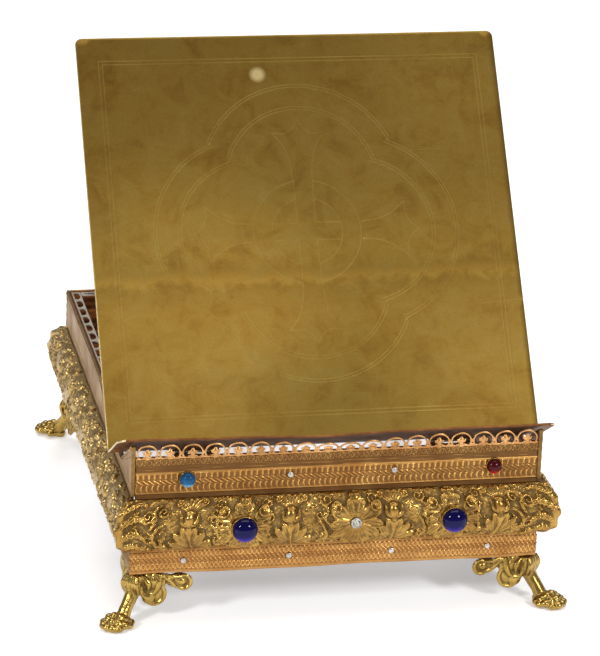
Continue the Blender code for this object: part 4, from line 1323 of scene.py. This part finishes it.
def lobed(radius):
    """Four arcs of a quatrefoil whose circles have this radius."""
    lines = []
    dx, ds = LOBE_SHIFT
    for k, (cx, cs) in enumerate(((dx, 0), (0, ds), (-dx, 0), (0, -ds))):
        others = ((dx, 0), (0, ds), (-dx, 0), (0, -ds))
        limits = []
        for near in (others[(k + 1) % 4], others[(k - 1) % 4]):
            mx, ms = (cx + near[0]) / 2, (cs + near[1]) / 2
            half = math.hypot(cx - near[0], cs - near[1]) / 2
            far = math.sqrt(radius ** 2 - half ** 2)
            length = math.hypot(mx, ms)
            px, ps = mx + mx / length * far, ms + ms / length * far
            limits.append(math.atan2(ps - cs, px - cx))
        middle = k * math.pi / 2
        up = (limits[0] - middle) % (2 * math.pi)
        down = (limits[1] - middle) % (2 * math.pi) - 2 * math.pi
        lines.append(arc(CROSS_X + cx, CROSS_S + cs, radius, middle + down, middle + up))
    return lines


def dense(points, step=1.6):
    """Straight runs cut into short steps."""
    out = [points[0]]
    for (ax, ay), (bx, by) in zip(points, points[1:]):
        count = max(1, int(math.hypot(bx - ax, by - ay) / step))
        out += [(ax + (bx - ax) * i / count, ay + (by - ay) * i / count)
                for i in range(1, count + 1)]
    return out


def flowing(points):
    line, length = smooth_curve(points, 8)
    line, _ = smooth_curve(points, max(4, int(length / 1.6)))
    return [tuple(p) for p in line]


def engraved_lines():
    """Centre lines of every groove, in (x, distance up the plate)."""
    lines = []
    for inset in (0.0, 2.9):
        x0, x1, s0, s1 = -143.8 + inset, 145.6 - inset, 21.5 + inset, 302.4 - inset
        for a, b in (((x0, s0), (x1, s0)), ((x1, s0), (x1, s1)), ((x1, s1), (x0, s1)),
                     ((x0, s1), (x0, s0))):
            lines.append(dense([a, b]))
    for radius in (56.0, 58.3, 74.0, 76.2):
        lines += lobed(radius)
    for radius in (26.5, 40.5):
        gap = math.asin(7.0 / radius)
        for middle in (0.0, math.pi):
            lines.append(arc(CROSS_X, CROSS_S, radius, middle - math.pi / 2 + gap,
                             middle + math.pi / 2 - gap))
    top = ((7.0, 33), (7.6, 46), (9.6, 60), (13.6, 70), (20.0, 78.5))
    for sx in (-1, 1):
        for tall, sy in ((1.0, 1), (0.98, -1)):
            arm = [(CROSS_X + sx * a, CROSS_S + sy * b * tall) for a, b in top]
            lines.append(dense([(CROSS_X + sx * 6.8, CROSS_S + sy * 6.8), arm[0]]))
            lines.append(flowing(arm))
            peak = [(sx * 20.0, 78.5), (sx * 11.0, 78.0), (sx * 4.0, 82), (0, 89)]
            lines.append(flowing([(CROSS_X + a, CROSS_S + sy * b * tall) for a, b in peak]))
        for sy in (-1, 1):
            lines.append(dense([(CROSS_X + sx * 6.8, CROSS_S + sy * 6.8),
                                (CROSS_X + sx * 25.6, CROSS_S + sy * 6.8)]))
            side = ((41, 7.0), (50, 7.6), (59, 10.0), (67, 14.6), (75, 21.6))
            lines.append(flowing([(CROSS_X + sx * a, CROSS_S + sy * b) for a, b in side]))
            peak = ((75, 21.6), (75.5, 12.0), (79, 4.4), (85, 0))
            lines.append(flowing([(CROSS_X + sx * a, CROSS_S + sy * b) for a, b in peak]))
    return lines


def scratches():
    """Handling marks: one long curved one by the left edge, some faint straight ones."""
    rng = np.random.default_rng(23)
    lines = [flowing([(-157.5, 75), (-151.5, 73), (-147.6, 66), (-148.2, 55), (-150.5, 47)])]
    for _ in range(16):
        x, s = rng.uniform(-130, 130), rng.uniform(12, 305)
        length, angle = rng.uniform(8, 38), rng.normal(0.0, 0.35)
        lines.append(dense([(x, s), (x + length * math.cos(angle),
                                     s + length * math.sin(angle))], 3.0))
    return lines


def rounded_sheet(inset, steps=7):
    """Outline of the unfolded plate, drawn in by inset: t runs from the lip's edge up."""
    lip_x, lip_t = PLATE_W / 2 - LIP_CORNER, LIP_CORNER - LIP_L
    top_x, top_t = PLATE_W / 2 - TOP_CORNER, PLATE_L - TOP_CORNER
    corners = ((lip_x, lip_t, LIP_CORNER, -0.5), (top_x, top_t, TOP_CORNER, 0),
               (-top_x, top_t, TOP_CORNER, 0.5), (-lip_x, lip_t, LIP_CORNER, 1))
    outline = []
    for cx, ct, radius, start in corners:
        for i in range(steps):
            a = math.pi * (start + 0.5 * i / (steps - 1))
            outline.append((cx + (radius - inset) * math.cos(a),
                            ct + (radius - inset) * math.sin(a)))
    return dense(outline + outline[:1], 4.0)[:-1]


def in_sheet(x, t):
    """Whether a point is clear of the rounded corners."""
    return (abs(x) < PLATE_W / 2 - LIP_CORNER - 1
            or LIP_CORNER + 1 - LIP_L < t < PLATE_L - TOP_CORNER - 1)


def bent(x, t, n):
    """Unfolded sheet (x, t) with height n above its underside, folded at t = 0."""
    w = 2 * BEND_R
    up = np.array([math.cos(TILT), math.sin(TILT)])
    lip = np.array([-math.cos(RISE), math.sin(RISE)])
    q = np.clip((t + w) / (2 * w), 0, 1)[:, None]
    bow = w * ((1 - q) ** 2 * lip + q ** 2 * up)
    flat = np.where((t > 0)[:, None], up * t[:, None], -lip * t[:, None])
    line = np.where((np.abs(t) < w)[:, None], bow, flat)
    run = np.where((t >= w)[:, None], up, np.where((t <= -w)[:, None], -lip,
                                                   -(1 - q) * lip + q * up))
    run = run / np.linalg.norm(run, axis=1)[:, None]
    normal = np.stack([-run[:, 1], run[:, 0]], 1)
    # hand-worked sheet: a slight bow, and a lip that isn't quite straight
    warp = 0.5 * np.sin(x / 61.0 + 0.6) * np.sin(t / 83.0) * np.clip(t / 60, 0, 1)
    warp = warp + np.clip(-t / LIP_L, 0, 1) ** 1.5 * (
        0.25 + 0.4 * np.sin(x / 29.0 + 0.8) + 0.2 * np.sin(x / 12.5)
        - 2.2 * np.exp(-(x / 46.0) ** 2))
    line = line + normal * (n + warp)[:, None]
    return np.stack([x, FOLD_Y + line[:, 0], FOLD_Z + line[:, 1]], 1)


def triangulated(points, edges):
    out = delaunay_2d_cdt([Vector(p) for p in points], edges, [], 1, 1e-4, True)
    return np.array([tuple(v) for v in out[0]]), [tuple(f) for f in out[2]]


def make_plate():
    outline = rounded_sheet(0.0)
    top_edge = rounded_sheet(EDGE_ROUND)
    count = len(outline)
    loop = [(i, (i + 1) % count) for i in range(count)]

    points, edges = list(top_edge), list(loop)
    tree_points = []
    grooves = [(line, 1.0) for line in engraved_lines()]
    grooves += [(line, 0.45) for line in scratches()]
    for line, strength in grooves:
        a = np.asarray(line)
        run = np.gradient(a, axis=0)
        run /= np.linalg.norm(run, axis=1)[:, None]
        side = np.stack([-run[:, 1], run[:, 0]], 1)
        half = GROOVE_HALF * (1.0 if strength > 0.5 else 0.6)
        for shift in (-half - 0.45, -half, 0.0, half, half + 0.45):
            start = len(points)
            points += [tuple(p) for p in a + side * shift]
            edges += [(start + i, start + i + 1) for i in range(len(a) - 1)]
        for (ax, ay), (bx, by) in zip(a, a[1:]):
            for k in range(8):
                tree_points.append((ax + (bx - ax) * k / 8, ay + (by - ay) * k / 8,
                                    strength, half))
    half_w = PLATE_W / 2 - 2
    for x in np.arange(-half_w, half_w + 0.1, GRID_X):
        for t in np.arange(-LIP_L + 2, PLATE_L - 1.9, GRID_T):
            if in_sheet(x, t):
                points.append((x + 0.4 * math.sin(t), t))
        for t in (-3.0, -2.0, -1.0, 0.0, 1.0, 2.0, 3.0):
            points.append((x, t))
    flat, faces = triangulated(points, edges)

    tree = KDTree(len(tree_points))
    for i, p in enumerate(tree_points):
        tree.insert((p[0], p[1], 0), i)
    tree.balance()
    depth, mark = np.zeros(len(flat)), np.zeros(len(flat))
    for i, (x, t) in enumerate(flat):
        _, index, distance = tree.find((x, t, 0))
        _, _, strength, half = tree_points[index]
        fall = max(0.0, 1 - distance / half)
        wear = 0.55 + 0.45 * math.sin(x / 19.0 + 0.7 * math.sin(t / 31.0)) \
            * math.cos(t / 27.0 + x / 53.0)
        depth[i] = GROOVE_DEPTH * strength * fall * (0.35 + 0.65 * wear)
        mark[i] = strength * (fall > 0.3) * (0.3 + 0.7 * wear)
    top = bent(flat[:, 0], flat[:, 1], PLATE_T - depth)

    back_points = list(top_edge)
    for x in np.arange(-half_w, half_w + 0.1, BACK_GRID):
        back_points += [(x, t) for t in np.arange(-LIP_L + 2.5, PLATE_L - 2, BACK_GRID)
                        if in_sheet(x, t)]
        back_points += [(x, t) for t in (-3.0, -1.5, 0.0, 1.5, 3.0)]
    back_flat, back_faces = triangulated(back_points, list(loop))
    back = bent(back_flat[:, 0], back_flat[:, 1], np.zeros(len(back_flat)))
    rim = np.asarray(outline)
    upper_rim = bent(rim[:, 0], rim[:, 1], np.full(count, PLATE_T - EDGE_ROUND))
    lower_rim = bent(rim[:, 0], rim[:, 1], np.full(count, EDGE_ROUND))

    verts = np.vstack([top, back, upper_rim, lower_rim])
    b0, u0 = len(top), len(top) + len(back)
    l0 = u0 + count
    all_faces = list(faces) + [tuple(b0 + i for i in f) for f in back_faces]
    kinds = [0] * len(faces) + [1] * len(back_faces)
    for i in range(count):
        j = (i + 1) % count
        all_faces += [(i, j, u0 + j, u0 + i), (u0 + i, u0 + j, l0 + j, l0 + i),
                      (l0 + i, l0 + j, b0 + j, b0 + i)]
        # The lip's front edge takes the dark underside brass: painted shade.
        at_lip = outline[i][1] < -LIP_L + 4 and abs(outline[i][0]) < PLATE_W / 2 - 5
        kinds += [1, 1, 1] if at_lip else [2, 2, 2]
    hollow = np.concatenate([mark, np.full(len(back) + 2 * count, 0.3)])
    obj = make_object("engraved_reading_plate", verts, all_faces, "plate", True, hollow)
    obj.data.materials.append(MATERIALS["underside"])
    obj.data.materials.append(MATERIALS["edge"])
    obj.data.polygons.foreach_set("material_index", kinds)
    sharp = obj.data.attributes.new("sharp_face", "BOOLEAN", "FACE")
    sharp.data.foreach_set("value", [k == 2 for k in kinds])
    fix(obj, "reading_plate", "plate")


# ---------------------------------------------------------------- hardware

def softened(node, name, material, body, width=0.35):
    """A copy of a CAD solid with its sharp edges rounded."""
    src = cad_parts[node]
    mesh = src.data.copy()
    bm = bmesh.new()
    bm.from_mesh(mesh)
    bm.transform(src.matrix_world)
    bmesh.ops.remove_doubles(bm, verts=bm.verts, dist=0.02 * MM)
    bmesh.ops.dissolve_limit(bm, angle_limit=math.radians(4), verts=bm.verts, edges=bm.edges)
    sharp = [e for e in bm.edges if e.is_manifold and e.calc_face_angle() > math.radians(50)]
    bmesh.ops.bevel(bm, geom=sharp, offset=width * MM, segments=2, profile=0.6,
                    affect="EDGES", clamp_overlap=True)
    bmesh.ops.triangulate(bm, faces=bm.faces)
    bmesh.ops.dissolve_degenerate(bm, edges=bm.edges, dist=1e-6)
    bmesh.ops.recalc_face_normals(bm, faces=bm.faces)
    bm.to_mesh(mesh)
    bm.free()
    mesh.materials.clear()
    mesh.materials.append(MATERIALS[material])
    mesh.polygons.foreach_set("use_smooth", [True] * len(mesh.polygons))
    mesh.set_sharp_from_angle(angle=math.radians(40))
    obj = bpy.data.objects.new(name, mesh)
    bpy.context.scene.collection.objects.link(obj)
    fix(obj, node, body)


def make_hardware():
    for side in ("left", "right"):
        softened(side + "_hinge_frame_leaf", side + "_hinge_leaf_on_rail", "steel",
                 "frame", 0.2)
        softened(side + "_hinge_plate_leaf", side + "_hinge_leaf_on_plate", "steel",
                 "plate", 0.2)
        # Brackets, rail and rest under the plate take the dark underside brass: painted shade.
        softened("rod_bracket_" + side, "prop_rod_bracket_" + side, "underside", "frame")
    softened("hinge_rail", "hinge_cross_rail", "underside", "frame", 0.4)
    softened("prop_strut", "folding_prop", "steel", "strut", 0.3)
    softened("serrated_rest", "toothed_prop_rest", "underside", "plate", 0.25)
    for node, material in (("left_hinge_pin", "steel"), ("right_hinge_pin", "steel"),
                           ("strut_rod", "steel"), ("left_gallery", "web"),
                           ("right_gallery", "web"), ("back_gallery", "web")):
        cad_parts[node].data.materials.clear()
        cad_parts[node].data.materials.append(MATERIALS[material])


# ---------------------------------------------------------------- stage

CAMERA_AIM = (3.88, -0.82, 154.17)
CAMERA_AZIMUTH = math.radians(-11.92)
CAMERA_ELEVATION = math.radians(20.83)
CAMERA_ROLL = math.radians(2.21)
CAMERA_DISTANCE = 2710.7
CAMERA_LENS = 215.5


def make_camera():
    a, e, r = CAMERA_AZIMUTH, CAMERA_ELEVATION, CAMERA_ROLL
    back = Vector((math.sin(a) * math.cos(e), -math.cos(a) * math.cos(e), math.sin(e)))
    right = (-back).cross(Vector((0, 0, 1))).normalized()
    up = right.cross(-back)
    right, up = (math.cos(r) * right + math.sin(r) * up,
                 -math.sin(r) * right + math.cos(r) * up)
    data = bpy.data.cameras.new("camera")
    data.lens = CAMERA_LENS
    data.sensor_width = 36.0
    data.sensor_fit = "HORIZONTAL"
    data.clip_end = 50.0
    obj = bpy.data.objects.new("camera", data)
    obj.matrix_world = Matrix((right, up, back)).transposed().to_4x4()
    obj.location = Vector(CAMERA_AIM) * MM + back * CAMERA_DISTANCE * MM
    bpy.context.scene.collection.objects.link(obj)
    bpy.context.scene.camera = obj


def softbox(name, place, aim, size, power):
    data = bpy.data.lights.new(name, "AREA")
    data.shape = "DISK" if isinstance(size, float) else "RECTANGLE"
    if isinstance(size, float):
        data.size = size
    else:
        data.size, data.size_y = size
    data.energy = power
    obj = bpy.data.objects.new(name, data)
    obj.location = place
    obj.rotation_euler = (Vector(aim) - Vector(place)).to_track_quat("-Z", "Y").to_euler()
    bpy.context.scene.collection.objects.link(obj)


def make_stage():
    verts = [(-9000, -9000, 0), (9000, -9000, 0), (9000, 9000, 0), (-9000, 9000, 0)]
    floor = make_object("floor", verts, [(0, 1, 2, 3)], "floor", False)
    world = bpy.data.worlds.new("studio")
    world.use_nodes = True
    world.node_tree.nodes["Background"].inputs["Color"].default_value = (0.95, 0.96, 1.0, 1.0)
    world.node_tree.nodes["Background"].inputs["Strength"].default_value = 0.32
    bpy.context.scene.world = world
    softbox("flash_left", (-1.42, -1.06, 1.10), (0, 0, 0.1), 0.40, 18.0)
    softbox("flash_right", (0.90, -1.55, 1.10), (0, 0, 0.1), 0.40, 18.0)
    softbox("overhead", (0.1, 0.6, 2.6), (0, 0.1, 0.1), (2.6, 2.2), 62.0)
    bpy.context.scene.view_settings.view_transform = "Standard"


make_camera()
make_stage()
make_friezes()
make_bands()
make_walls()
make_front_gallery()
make_posts()
make_feet()
make_stones()
make_rivets()
make_plate()
make_hardware()
